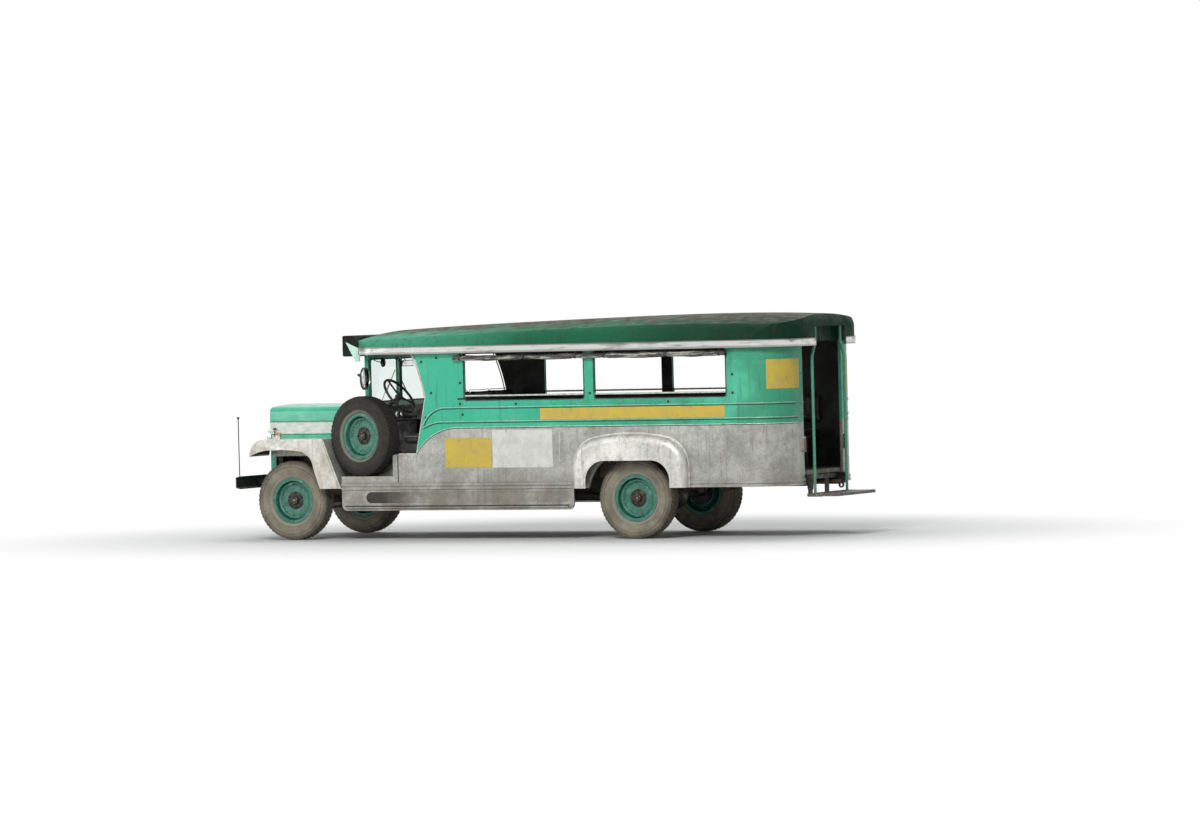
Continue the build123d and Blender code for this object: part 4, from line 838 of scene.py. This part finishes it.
# Mouldings: a painted shadow line under each and a painted highlight along its upper edge
MOULDING = 0.012
MOULDING_OUT = 0.007
moulding_foot = BELT_START[0] + 0.075
MOULDINGS = (
    # height, length of its front curve, drop of the curve
    (belt + 0.062, 0.230, 0.058),
    (belt + 0.202, 0.260, 0.180),
)
for side, name in SIDES:
    wear_and_highlight, soot_and_shadow = Shape(), Shape()
    for level, run, drop in MOULDINGS:
        # Pale strip along each moulding's upper edge: painted highlight. Dark strip under it: painted shadow.
        for shape, inset, out, thick in ((wear_and_highlight, 0.0016, MOULDING_OUT, 0.0026),
                                         (soot_and_shadow, MOULDING + 0.0035, 0.0003, 0.0052)):
            line = rising_curve(moulding_foot, level, run, drop, inset)
            station = moulding_foot + run
            while station < rear_wall + 0.10:
                station += 0.06
                line.append((station, level - inset))
            shape.tube(wall_line(line, out, side), thick, 6)
    wear_and_highlight.build(f"moulding_highlight_{name}", pale_edge)
    soot_and_shadow.build(f"moulding_shadow_{name}", black_rubber)
    # Painted shade: dark lines below the bead, along the skirt's seam and above its tube
    shade_lines = Shape().tube(wall_line([(s, z - 0.007) for s, z in belt_line], 0.0005, side), 0.0042, 6)
    for z, out in ((body_bottom + 0.001, 0.0005), (0.342, 0.0205)):
        shade_lines.tube([(s, side * (wall_y + out), z) for s in (0.66, 1.9, 3.2)], 0.0045, 6)
    shade_lines.build(f"seam_shade_lines_{name}", black_rubber)

# Rivets, bolts, lapped seams and the window posts' feet
skirt_seam = body_bottom + 0.07
RIVET_ROWS = (
    # first station, last station, pitch, height
    (1.98, 5.72, 0.115, belt - 0.022),
    (0.68, 3.22, 0.10, body_bottom + 0.082),
    (4.56, 5.72, 0.10, body_bottom + 0.082),
    (2.04, 4.94, 0.145, window_bottom - 0.026),
    (1.52, 5.70, 0.145, eave_bottom + 0.012),
)
WASHER_BOLTS = ((1.564, 1.776), (1.735, 1.813), (1.999, 1.56), (1.668, 1.465), (1.993, 1.351),
                (1.60, 1.22), (2.02, 1.245), (2.62, 1.345), (3.445, 1.44), (3.445, 1.79), (4.30, 1.345),
                (5.0, 1.60), (5.0, 1.42))
LATCH_BOLTS = ((1.975, 1.401), (2.025, 1.401))
BOLT_KINDS = (
    (WASHER_BOLTS, ((0, 0.014), (0.0015, 0.014), (0.0016, 0.009), (0.006, 0.0088), (0.007, 0.007))),
    (LATCH_BOLTS, ((0, 0.010), (0.004, 0.009), (0.005, 0.004))),
)
POST_FOOT = ((-0.02, 0.0), (0.055, 0.0), (0.055, 0.004), (-0.02, 0.006))
for side, name in SIDES:
    rivets = Shape()
    for first, last, pitch, z in RIVET_ROWS:
        for k in range(int((last - first) / pitch) + 1):
            rivets.bolt(*wall_point(first + k * pitch, z, 0.0, side), 0.0042, 0.0022)
    rivets.build(f"side_rivets_{name}", steel)
    bolts = Shape()
    for places, profile in BOLT_KINDS:
        for s, z in places:
            bolts.lathe(*wall_point(s, z, 0.0, side), profile, 10)
    bolts.build(f"side_bolts_{name}", black)
    seams = Shape()
    seams.plate(1.958, 1.974, belt + 0.205, eave_bottom + 0.035, 0.002, side)
    seams.plate(4.95, 4.966, belt + 0.205, eave_bottom + 0.035, 0.002, side)
    seams.plate(4.966, 5.75, 1.742, 1.752, 0.003, side, 16)
    for s in (3.405, 3.485):
        seams.rings([[wall_point(s + d, window_bottom + up, out, side)[0] for up, out in POST_FOOT]
                     for d in (-0.014, 0.014)])
    seams.build(f"panel_seams_{name}", mint, bevel=0.0008)
    zinc_seams = Shape()
    zinc_seams.plate(1.212, 1.236, skirt_seam, sill - 0.004, 0.002, side)
    zinc_seams.plate(4.62, 4.645, skirt_seam, belt - 0.002, 0.002, side)
    zinc_seams.plate(0.64, 3.23, skirt_seam - 0.004, skirt_seam + 0.002, 0.004, side)
    zinc_seams.build(f"zinc_seams_{name}", zinc, bevel=0.0008)
    foot = DOOR_FOOT[side]
    gap = Shape().plate(foot + 0.003, foot + 0.014, skirt_seam + 0.005, sill - 0.006, 0.0008, side)
    gap.build(f"panel_gap_{name}", black_rubber)
    slot = Shape().plate(1.962, 2.036, 1.391, 1.411, 0.0015, side)
    slot.build(f"latch_slot_{name}", black_rubber, bevel=0.001)

# Wobbly line of sealant on the left side
line = [(3.096 + 0.006 * sin(9 * k), 0.775 + 0.011 * k) for k in range(28)]
Shape().tube(wall_line(line, 0.001, 1), 0.0065, 6).build("sealant_line", sealant)

# Blank signs on the left side, the rear corner and the right rear wall
SIGNS = (
    # piece, material, front and rear station, bottom, top, thickness, side, columns
    ("blank_sign_yellow", yellow_sign, 1.813, 2.334, 0.722, 1.015, 0.0015),
    ("blank_sign_white", white_sign, 2.345, 3.016, 0.716, 1.089, 0.0015),
    ("blank_route_band", yellow_sign, 2.889, 4.912, 1.185, 1.3035, 0.0015),
    ("blank_poster", yellow_sign, 5.352, 5.742, 1.452, 1.738, 0.0012, 1, 14),
    ("blank_poster_right", yellow_sign, 5.60, 5.755, 1.345, 1.735, 0.0012, -1, 8),
)
for name, material, *place in SIGNS:
    Shape().plate(*place).build(name, material)

# Thin sheet just under the roof's sloping front edge, which closes the slot above the signboard
BROW_DEPTH = 0.002
BROW_SHEET = 0.004
BROW_HALF = 0.60


def brow_height(station, slope, y):
    """Top of the sheet: under the slope and under the crowned section."""
    crown = 2.078 + 0.044 * (station - 0.7) / 0.9
    return min(slope, crown - y**2 / 8.1) - BROW_DEPTH


slope_line = arc_points((0.78, eave_top - 0.012), (0.84, eave_top + 0.078), (1.05, 2.112), 40)
brow_rings = []
for k in range(25):
    y = BROW_HALF * (k / 12 - 1)
    upper = [point_at(s, y, brow_height(s, z, y)) for s, z in slope_line if 0.832 < s < 0.965]
    brow_rings.append(upper + [point - UP * BROW_SHEET for point in reversed(upper)])
Shape().rings(brow_rings).build("roof_brow", roof_finish)

# Windshield: gaskets, wipers and header mirrors
PANE_HALF = 0.3025
PANE_LOW, PANE_HIGH = 1.38, 1.807
PANE_Y = 0.3175
PANE_CORNER = 0.03
for side, name in SIDES:
    gasket = Shape()
    loop = rounded_loop(PANE_HALF, (PANE_HIGH - PANE_LOW) / 2, PANE_CORNER)
    for s in (0.7985, 0.8415):
        gasket.tube([(s, side * PANE_Y + u, (PANE_LOW + PANE_HIGH) / 2 + v) for u, v in loop],
                    0.006, 6, closed=True)
    gasket.build(f"windshield_gasket_{name}", black_rubber)
    pivot = point_at(0.796, side * 0.33, 1.352)
    tip = point_at(0.779, side * 0.12, 1.575)
    wiper = Shape().lathe(pivot, AHEAD, ((-0.004, 0.013), (0.012, 0.013), (0.02, 0.009)), 12)
    wiper.tube([pivot + AHEAD * 0.014, pivot.lerp(tip, 0.5) + AHEAD * 0.012, tip], 0.0035, 6)
    along = Vector((0, -0.25 * side, 0.30)).normalized() * 0.15
    wiper.tube([tip - along - AHEAD * 0.008, tip - AHEAD * 0.005, tip + along - AHEAD * 0.008], 0.0045, 6)
    wiper.build(f"wiper_{name}", black)
inner = Shape().tube([(0.845, 0.02, 1.83), (0.90, 0.02, 1.80), (0.925, 0.02, 1.765)], 0.005, 8)
inner.box((0.932, 0.02, 1.755), (0.014, 0.25, 0.062))
inner.tube([(0.845, 0.56, 1.80), (0.90, 0.585, 1.785), (0.96, 0.60, 1.775)], 0.005, 8)
inner.lathe((0.972, 0.60, 1.775), -AHEAD, ((-0.012, 0.03), (0.0, 0.048), (0.008, 0.046), (0.009, 0.04)), 20)
inner.build("inner_mirrors", black, bevel=0.003)
face = Shape().box((0.9395, 0.02, 1.755), (0.001, 0.238, 0.05))
face.lathe((0.9815, 0.60, 1.775), -AHEAD, ((0.0, 0.041), (0.0006, 0.041)), 20)
face.build("inner_mirror_faces", mirror_glass)

# Side mirrors: glass in a rolled rim
for side, name in SIDES:
    centre = point_at(0.9505, side * 0.92, 1.62)
    oval = [centre + Vector((0, 0.076 * c, 0.108 * s)) for c, s in circle(40)]
    Shape().tube(oval, 0.0045, 8, closed=True).build(f"mirror_rim_{name}", chrome)
    glass_rings = [[centre + Vector((dx, 0.074 * f * c, 0.106 * f * s)) for c, s in circle(40)]
                   for dx, f in ((0.001, 1.0), (-0.0012, 1.0), (-0.0022, 0.7), (-0.0028, 0.3))]
    Shape().rings(glass_rings).build(f"mirror_face_{name}", mirror_glass)

# Hood: side catches and the hem along its lower edges
for side, name in SIDES:
    foot = point_at(-0.352, side * 0.518, 1.063)
    bend = LEFT * side * 0.006
    path = [foot - UP * 0.028, foot + bend, foot + UP * 0.055, foot + UP * 0.062 - bend]
    catch = Shape().tube(path, 0.0045, 8)
    catch.box(foot + Vector((0, side * 0.004, 0.056)), (0.034, 0.012, 0.018))
    catch.build(f"hood_catch_{name}", black, "hood", bevel=0.002)
hem = Shape()
for side, _ in SIDES:
    hem.tube([(-0.42 + 1.115 * k / 12, side * (0.501 + 0.005 * k), 1.067) for k in range(13)], 0.0045, 6)
hem.build("hood_hem", hood_finish, "hood")

# Head lamps, side lamps and tail lamps
LENS_RADIUS = 0.064
LAMP_RING = ((-0.004, 0.0725), (0.004, 0.077), (0.010, 0.075), (0.011, 0.066), (0.004, LENS_RADIUS),
             (0.002, LENS_RADIUS))
LENS_DOME = [(0.004 + 0.014 * sin(pi / 14 * k), LENS_RADIUS * cos(pi / 14 * k) + 0.0005) for k in range(8)]
SIDE_LAMP = ((0, 0.033), (0.012, 0.031), (0.022, 0.022), (0.026, 0.004))
for side, name in SIDES:
    centre = point_at(-0.47, side * 0.385, 1.04)
    Shape().lathe(centre, AHEAD, LAMP_RING, 40).build(f"head_lamp_ring_{name}", chrome)
    Shape().lathe(centre, AHEAD, LENS_DOME, 40).build(f"head_lamp_lens_{name}", clear_lens)
    marker = Shape().lathe((-0.18, side * 0.74, 1.0605), UP, SIDE_LAMP, 24)
    marker.build(f"side_lamp_lens_{name}", amber_lens)
    tail = Shape().box((rear_wall + 0.0275, side * 0.48, 0.90), (0.006, 0.038, 0.132))
    tail.build(f"tail_lamp_lens_{name}", red_lens, bevel=0.0025)

# Grille: wire mesh behind the slots; radiator fins
net = Shape()
for k in range(19):
    y = -0.27 + 0.03 * k
    net.tube([(-0.358, y, 0.72), (-0.358, y, 1.19)], 0.0014, 4)
for k in range(17):
    z = 0.73 + 0.028 * k
    net.tube([(-0.3555, -0.28, z), (-0.3555, 0.28, z)], 0.0014, 4)
net.build("grille_mesh", black, smooth=0)
fins = Shape()
for k in range(40):
    fins.box((-0.343, 0, 0.70 + 0.0118 * k), (0.004, 0.598, 0.0016))
fins.build("radiator_fins", iron, smooth=0)

heads = Shape()
for y in (-0.72, -0.385, -0.335, 0.335, 0.385, 0.72):
    heads.bolt((-0.65, y, 0.585), AHEAD, 0.012, 0.004)
heads.build("bumper_bolts", steel)

# Interior: dials, knobs, pedals, gear lever, hand brake and floor mat
DASH_FACE = 0.906
DIAL_HEIGHT = 1.245
# y, radius
DIALS = ((0.36, 0.052), (0.48, 0.03), (0.24, 0.03), (0.14, 0.024))
DIAL_RING = ((-0.004, 1.0), (0.008, 1.0), (0.010, 0.93), (0.004, 0.88))
KNOB = ((-0.004, 0.006), (0.014, 0.006), (0.014, 0.011), (0.024, 0.010), (0.026, 0.004))
dials, dial_faces, knobs, pedals = Shape(), Shape(), Shape(), Shape()
for y, radius in DIALS:
    centre = (DASH_FACE, y, DIAL_HEIGHT)
    dials.lathe(centre, -AHEAD, [(out, share * radius) for out, share in DIAL_RING], 28)
    dial_faces.lathe(centre, -AHEAD, ((0.0, radius * 0.9), (0.002, radius * 0.9)), 28)
for k in range(5):
    knobs.lathe((DASH_FACE, 0.04 - 0.05 * k, 1.21), -AHEAD, KNOB, 14)
for y in (0.24, 0.36, 0.47):
    pedals.tube([(0.76, y, 1.00), (0.80, y, 0.84), (0.865, y, 0.765)], 0.007, 8)
    pedals.box((0.872, y, 0.762), (0.012, 0.055, 0.07), Matrix.Rotation(radians(35), 3, "Y"))
dials.build("dial_rings", chrome)
dial_faces.build("dial_faces", white_rubber)
knobs.build("dash_knobs", black_rubber)
pedals.build("pedals", black, bevel=0.002)
lever_foot = (1.02, 0.06, deck_top)
lever = Shape().tube([lever_foot, (1.03, 0.07, 0.85), (1.12, 0.09, 1.12)], 0.008, 8)
lever.lathe((1.123, 0.091, 1.125), (-0.3, 0.06, 0.9),
            ((-0.01, 0.012), (0.008, 0.022), (0.026, 0.021), (0.036, 0.008)), 16)
lever.lathe(lever_foot, UP, ((0, 0.075), (0.012, 0.07), (0.03, 0.035), (0.06, 0.016)), 20)
lever.build("gear_lever", black_rubber)
brake = Shape().tube([(1.10, -0.03, deck_top), (1.13, -0.03, 0.80), (1.19, -0.03, 0.93)], 0.009, 8)
brake.build("hand_brake", black)
MAT_MIDDLE = 3.6
mat = Shape().box((MAT_MIDDLE, 0, deck_top + 0.003), (3.3, 0.76, 0.006))
mat.build("aisle_mat", black_rubber, bevel=0.002)
ribs = Shape()
for k in range(26):
    ribs.box((MAT_MIDDLE, -0.36 + 0.0288 * k, deck_top + 0.0075), (3.28, 0.008, 0.004))
ribs.build("aisle_mat_ribs", black_rubber, smooth=0)

# Rear step: an edge strip and the treads' bolts
strip = Shape().box((5.893, 0, 0.4205), (0.012, 0.84, 0.006))
for y in (-0.38, -0.2, 0.0, 0.2, 0.38):
    strip.bolt((5.62, y, 0.42), UP, 0.009, 0.005)
strip.build("rear_step_edge", steel, bevel=0.001)

# Signboard: blank pale panel in a frame
BOARD_HEIGHT = 1.947
Shape().box((0.5885, 0, BOARD_HEIGHT), (0.003, 1.36, 0.15)).build("blank_signboard_panel", white_sign)
trim = Shape()
for way, _ in SIDES:
    trim.box((0.587, 0, BOARD_HEIGHT - way * 0.079), (0.007, 1.38, 0.012))
    trim.box((0.587, way * 0.686, BOARD_HEIGHT), (0.007, 0.012, 0.17))
trim.build("signboard_frame", chrome, bevel=0.001)

# Bright trim: studs, a rolled edge along its top and foot, and a dark gap above it
studs = Shape()
for side, _ in SIDES:
    for k in range(22):
        for z in (eave_bottom + 0.014, eave_top - 0.014):
            studs.bolt((0.98 + 0.2 * k, side * 0.9002, z), (0, side, 0), 0.0055, 0.003)
studs.build("trim_studs", steel)
for side, name in SIDES:
    rail, gap = Shape(), Shape()
    for shape, z, y, radius in ((rail, eave_top - 0.002, 0.9015, 0.0045),
                                (gap, eave_top + 0.0035, 0.8985, 0.003),
                                (rail, eave_bottom + 0.003, 0.9015, 0.004)):
        shape.tube([(s, side * y, z) for s in (0.96, 2.0, 3.0, 4.0, 5.0, side_end)], radius, 8)
    rail.build(f"trim_roll_{name}", chrome)
    gap.build(f"trim_gap_{name}", black_rubber)

# Rolled rain curtains: clear film rolled up below the eave, held by straps
CURTAIN_Y = 0.9133
CURTAIN_Z = 1.81
CURTAIN_START = 1.95
CURTAIN_LENGTH = 3.0
CURTAIN_TURNS = 5
CURTAIN_CORE = 0.008
CURTAIN_RADIUS = 0.031
CURTAIN_COLUMNS = 96
STRAPS = (2.02, 2.74, 3.31, 3.63, 4.30, 4.88)
STRAP_RADIUS = CURTAIN_RADIUS * 0.83
STRAP_SECTION = ((-0.009, 0), (0.009, 0), (0.009, 0.0018), (-0.009, 0.0018))


def roll_radius(station, nearest, share):
    """Radius of the roll at a station: pinched at the nearest strap, lumpy between the straps."""
    pinch = 1.0 - 0.20 * max(0.0, 1 - nearest / 0.05)
    lump = 0.93 + 0.07 * sin(station * 17.0 + 2.1 * sin(station * 5.3))
    return (CURTAIN_CORE + (CURTAIN_RADIUS - CURTAIN_CORE) * share) * pinch * lump


for side, name in SIDES:
    steps = CURTAIN_TURNS * 18
    verts = []
    for i in range(CURTAIN_COLUMNS + 1):
        station = CURTAIN_START + CURTAIN_LENGTH * i / CURTAIN_COLUMNS
        nearest = min(abs(station - s) for s in STRAPS)
        sag = 0.006 * min(1.0, nearest / 0.3)
        for j in range(steps + 1):
            turn = 2 * pi * CURTAIN_TURNS * j / steps
            crease = 1 + 0.035 * sin(turn * 3 + station * 23) * sin(station * 41 + turn)
            radius = roll_radius(station, nearest, j / steps) * crease
            y, z = CURTAIN_Y + radius * cos(turn), CURTAIN_Z - sag + radius * sin(turn)
            verts.append(point_at(station, side * y, z))
    corners = [i * (steps + 1) + j for i in range(CURTAIN_COLUMNS) for j in range(steps)]
    mesh = bpy.data.meshes.new(f"rolled_curtain_{name}")
    mesh.from_pydata(verts, [], [(a, a + 1, a + steps + 2, a + steps + 1) for a in corners])
    mesh.materials.append(curtain_film)
    mesh.shade_smooth()
    roll = put(f"rolled_curtain_{name}", mesh)
    attach(roll, "root", "rain_curtains")
    ties = Shape()
    for s in STRAPS:
        centre = point_at(s, side * CURTAIN_Y, CURTAIN_Z)
        ties.rings([[centre + Vector((dx, side * c * (STRAP_RADIUS + dr), u * (STRAP_RADIUS + dr)))
                     for dx, dr in STRAP_SECTION] for c, u in circle(24)], closed=True)
        ties.box((s, side * (CURTAIN_Y - 0.004), eave_bottom - 0.012), (0.018, 0.0018, 0.034))
        ties.bolt(*wall_point(s, eave_bottom - 0.022, 0.0, side), 0.006, 0.004)
    straps = ties.build(f"curtain_straps_{name}", black_rubber)

# Seats: cushions puffed up by cloth pressure, with sewn channels and piping
PULL = 0.022


def pulled_in(point, half):
    """A point with its side moved in between the corners, and its place as shares of the half size."""
    u, v = point.x / half.x, point.y / half.y
    return Vector((point.x * (1 - PULL * (1 - v * v)), point.y * (1 - PULL * (1 - u * u)), point.z)), u, v


def rounded_block(size):
    """Plain starting shape of a cushion, standing on z = 0."""
    work = bmesh.new()
    bmesh.ops.create_cube(work, size=1.0)
    for vertex in work.verts:
        vertex.co = Vector((vertex.co.x * size.x, vertex.co.y * size.y, (vertex.co.z + 0.5) * size.z))
    bmesh.ops.bevel(work, geom=work.edges[:], offset=min(size) * 0.22, segments=3, affect="EDGES")
    mesh = bpy.data.meshes.new("cushion_start")
    work.to_mesh(mesh)
    work.free()
    return mesh


def evaluated(obj):
    """Mesh of an object with its modifiers."""
    bpy.context.view_layer.update()
    return bpy.data.meshes.new_from_object(obj.evaluated_get(bpy.context.evaluated_depsgraph_get()))


def swollen(obj, steps=20):
    """Places of the vertices after some frames of pressure."""
    cloth = obj.modifiers.new("cloth", "CLOTH")
    cloth.settings.quality = 3
    cloth.settings.use_pressure = True
    cloth.settings.uniform_pressure_force = 4.0
    cloth.settings.effector_weights.gravity = 0.0
    cloth.point_cache.frame_start = 1
    cloth.point_cache.frame_end = steps
    for step in range(1, steps + 1):
        scene.frame_set(step)
    mesh = evaluated(obj)
    places = [v.co.copy() for v in mesh.vertices]
    bpy.data.meshes.remove(mesh)
    obj.modifiers.clear()
    scene.frame_set(1)
    return places


def puffed(name, size, swell, channels, across, material):
    """Mesh of one cushion in the space of a block of this size. Channels run along the other axis."""
    size = Vector(size)
    obj = put(name, rounded_block(size - Vector((2, 2, 1)) * swell))
    coarse = obj.modifiers.new("grid", "REMESH")
    coarse.mode = "VOXEL"
    coarse.voxel_size = 0.006
    mesh = evaluated(obj)
    obj.modifiers.clear()
    obj.data = mesh
    before = [v.co.copy() for v in mesh.vertices]
    after = swollen(obj)
    half = size / 2
    for vertex, old, new in zip(mesh.vertices, before, after):
        step = new - old
        if step.length > swell:
            step *= swell / step.length
        point, u, v = pulled_in(old + step, half)
        # The top is crowned and grooved at the channels
        level = max(0.0, point.z / size.z)
        fade = max(0.0, 1 - abs(u) ** 6) * max(0.0, 1 - abs(v) ** 6)
        groove = 0.007 * fade * abs(cos(pi * channels * ((v if across == "Y" else u) + 1) / 2)) ** 10
        crown = size.z * 0.10 * ((1 - u * u) * (1 - v * v) - 1)
        point.z += level**2 * (crown - groove)
        point.z += level * 0.0035 * noise.noise(point * 9.0) * fade
        vertex.co = Vector((max(-half.x, min(half.x, point.x)), max(-half.y, min(half.y, point.y)),
                            max(0.0, min(size.z, point.z))))
    thin = obj.modifiers.new("thin", "DECIMATE")
    thin.ratio = 0.22
    light = evaluated(obj)
    bpy.data.objects.remove(obj)
    light.name = name
    light.materials.clear()
    light.materials.append(material)
    light.shade_smooth()
    return light


def place_cushion(name, mesh, place, node):
    """A puffed cushion, set by a matrix."""
    cushion = put(name, mesh)
    cushion.matrix_world = place
    bpy.context.view_layer.update()
    attach(cushion, "root", node)


def piping_round(name, size, height, place):
    """Cord sewn round a cushion's edge, pulled in between the corners."""
    half = Vector(size) / 2
    path = [Vector((u, v, height)) for u, v in rounded_loop(half.x - 0.004, half.y - 0.004, 0.028)]
    path = [p.lerp(q, t) for p, q in zip(path, path[1:] + path[:1])
            for t in ((0.0, 0.25, 0.5, 0.75) if (q - p).length > 0.05 else (0.0,))]
    Shape().tube([place @ pulled_in(p, half)[0] for p in path], 0.0035, 6, closed=True).build(name, piping)


SECTIONS = 5
SECTION_GAP = 0.004
BENCH_FROM, BENCH_TO = 1.972, 5.158
SEAT_HEIGHT = 0.9604
pitch = (BENCH_TO - BENCH_FROM) / SECTIONS
seat_size = (pitch - SECTION_GAP, 0.358, 0.079)
back_size = (0.290, pitch - SECTION_GAP, 0.057)
bench_mesh = puffed("bench_section", seat_size, 0.010, 3, "X", seat_vinyl)
bench_back_mesh = puffed("bench_back_section", back_size, 0.008, 4, "Y", seat_vinyl)
for side, name in SIDES:
    # The back stands on its long edge against the wall, its crown towards the aisle
    facing = Matrix(((0, side, 0, 0), (0, 0, -side, 0), (1, 0, 0, 0), (0, 0, 0, 1)))
    for k in range(SECTIONS):
        station = BENCH_FROM + pitch * (k + 0.5)
        place = Matrix.Translation(point_at(station, side * 0.609, SEAT_HEIGHT))
        place_cushion(f"bench_cushion_{name}_{k + 1}", bench_mesh, place, "bench_cushions")
        piping_round(f"bench_piping_{name}_{k + 1}", seat_size, 0.058, place)
        place = Matrix.Translation(point_at(station, side * 0.8496, 1.218)) @ facing
        place_cushion(f"bench_back_{name}_{k + 1}", bench_back_mesh, place, "bench_cushions")

FRONT_SEATS = (
    # kind, width, sewn channels, middle y of each copy
    ("driver", 0.658, 3, (0.45,)),
    ("passenger", 0.438, 2, (-0.12, -0.56)),
)
SEAT_FRONT = 1.265
standing = Matrix(((0, 0, 1, 0), (0, 1, 0, 0), (-1, 0, 0, 0), (0, 0, 0, 1)))
FRONT_PADS = (
    # part, depth, thickness, swelling, station, height, turn, height of the piping
    ("seat", 0.373, 0.099, 0.012, SEAT_FRONT + 0.1925, SEAT_HEIGHT, Matrix.Identity(4), 0.07),
    ("back", 0.478, 0.0735, 0.010, SEAT_FRONT + 0.4595, 1.24, standing, 0.05),
)
for kind, width, channels, middles in FRONT_SEATS:
    for part, depth, thick, swell, station, height, turn, seam in FRONT_PADS:
        size = (depth, width, thick)
        mesh = puffed(f"{kind}_{part}_pad", size, swell, channels, "Y", front_vinyl)
        for k, y in enumerate(middles):
            place = Matrix.Translation(point_at(station, y, height)) @ turn
            place_cushion(f"{kind}_{part}_{k + 1}", mesh, place, "front_seats")
            piping_round(f"{kind}_{part}_piping_{k + 1}", size, seam, place)

# Floor, light and camera: away from the vehicle, the camera sees the floor fade into the background
floor_mesh = bpy.data.meshes.new("floor")
floor_mesh.from_pydata([(-120, -160, 0), (120, -160, 0), (120, 80, 0), (-120, 80, 0)], [], [(0, 1, 2, 3)])
floor = put("floor", floor_mesh)
paper = Finish("floor_paper", (0.70, 0.70, 0.69), Roughness=0.75)
paper.cover((0.74, 0.74, 0.73), paper.noise(0.8, 4))
paper.feed(paper.shader.inputs["Base Color"], paper.colour)
floor_mesh.materials.append(paper.bump(paper.noise(40, 3), 0.0008))
away = paper.ramp(paper.length(paper.stretched((0.75, 1.0, 1.0))), 2.2, 5.2)
away = paper.times(away, paper.background_rays())
glow = paper.node("Emission", Strength=1.0).outputs[0]
blend = paper.feed_all(paper.node("MixShader"), away, paper.shader.outputs[0], glow)
paper.tree.links.new(blend, paper.out.inputs[0])

world = bpy.data.worlds.new("studio")
scene.world = world
world.use_nodes = True
sky = Nodes(world.node_tree)
light = sky.node("Background", Color=(0.92, 0.96, 1.0), Strength=0.32).outputs[0]
seen = sky.node("Background", Color=(1.0, 1.0, 1.0), Strength=1.0).outputs[0]
choose = sky.feed_all(sky.node("MixShader"), sky.background_rays(), light, seen)
sky.node("OutputWorld", Surface=choose)

LIGHTS = (
    # name, place, aimed at, width, height, watts
    ("key", (-3.0, 11.0, 8.0), (-0.3, 0.5, 1.1), 5.0, 3.0, 960.0),
    ("fill", (9.0, 8.0, 3.5), (1.5, 0.0, 1.0), 5.0, 4.0, 230.0),
    ("top", (0.0, -2.0, 10.0), (0.0, 0.0, 1.0), 8.0, 4.0, 430.0),
)
for name, place, aim, width, height, watts in LIGHTS:
    lamp = bpy.data.lights.new(name, "AREA")
    lamp.shape = "RECTANGLE"
    lamp.size = width
    lamp.size_y = height
    lamp.energy = watts
    holder = put(name, lamp)
    holder.location = place
    holder.rotation_euler = (Vector(aim) - Vector(place)).to_track_quat("-Z", "Y").to_euler()

# The photograph's camera: far off behind the vehicle's left, with a long lens
CAMERA_PLACE = Vector((-27.067, 51.936, 2.517))
CAMERA_YAW = radians(27.112)
CAMERA_PITCH = radians(-1.254)
CAMERA_ROLL = radians(-1.48)
FOCAL_PIXELS = 5850.0
PHOTO_WIDTH = 1200.0

flat = Vector((sin(CAMERA_YAW), -cos(CAMERA_YAW), 0))
looking = cos(CAMERA_PITCH) * flat + sin(CAMERA_PITCH) * UP
level = looking.cross(UP).normalized()
upright = level.cross(looking)
right = cos(CAMERA_ROLL) * level + sin(CAMERA_ROLL) * upright
upward = cos(CAMERA_ROLL) * upright - sin(CAMERA_ROLL) * level
camera_data = bpy.data.cameras.new("camera")
camera_data.sensor_width = 36.0
camera_data.lens = FOCAL_PIXELS / PHOTO_WIDTH * camera_data.sensor_width
camera_data.clip_end = 500.0
camera = put("camera", camera_data)
turned = Matrix((right, upward, -looking)).transposed().to_4x4()
camera.matrix_world = Matrix.Translation(CAMERA_PLACE) @ turned
scene.camera = camera
scene.view_settings.view_transform = "Standard"
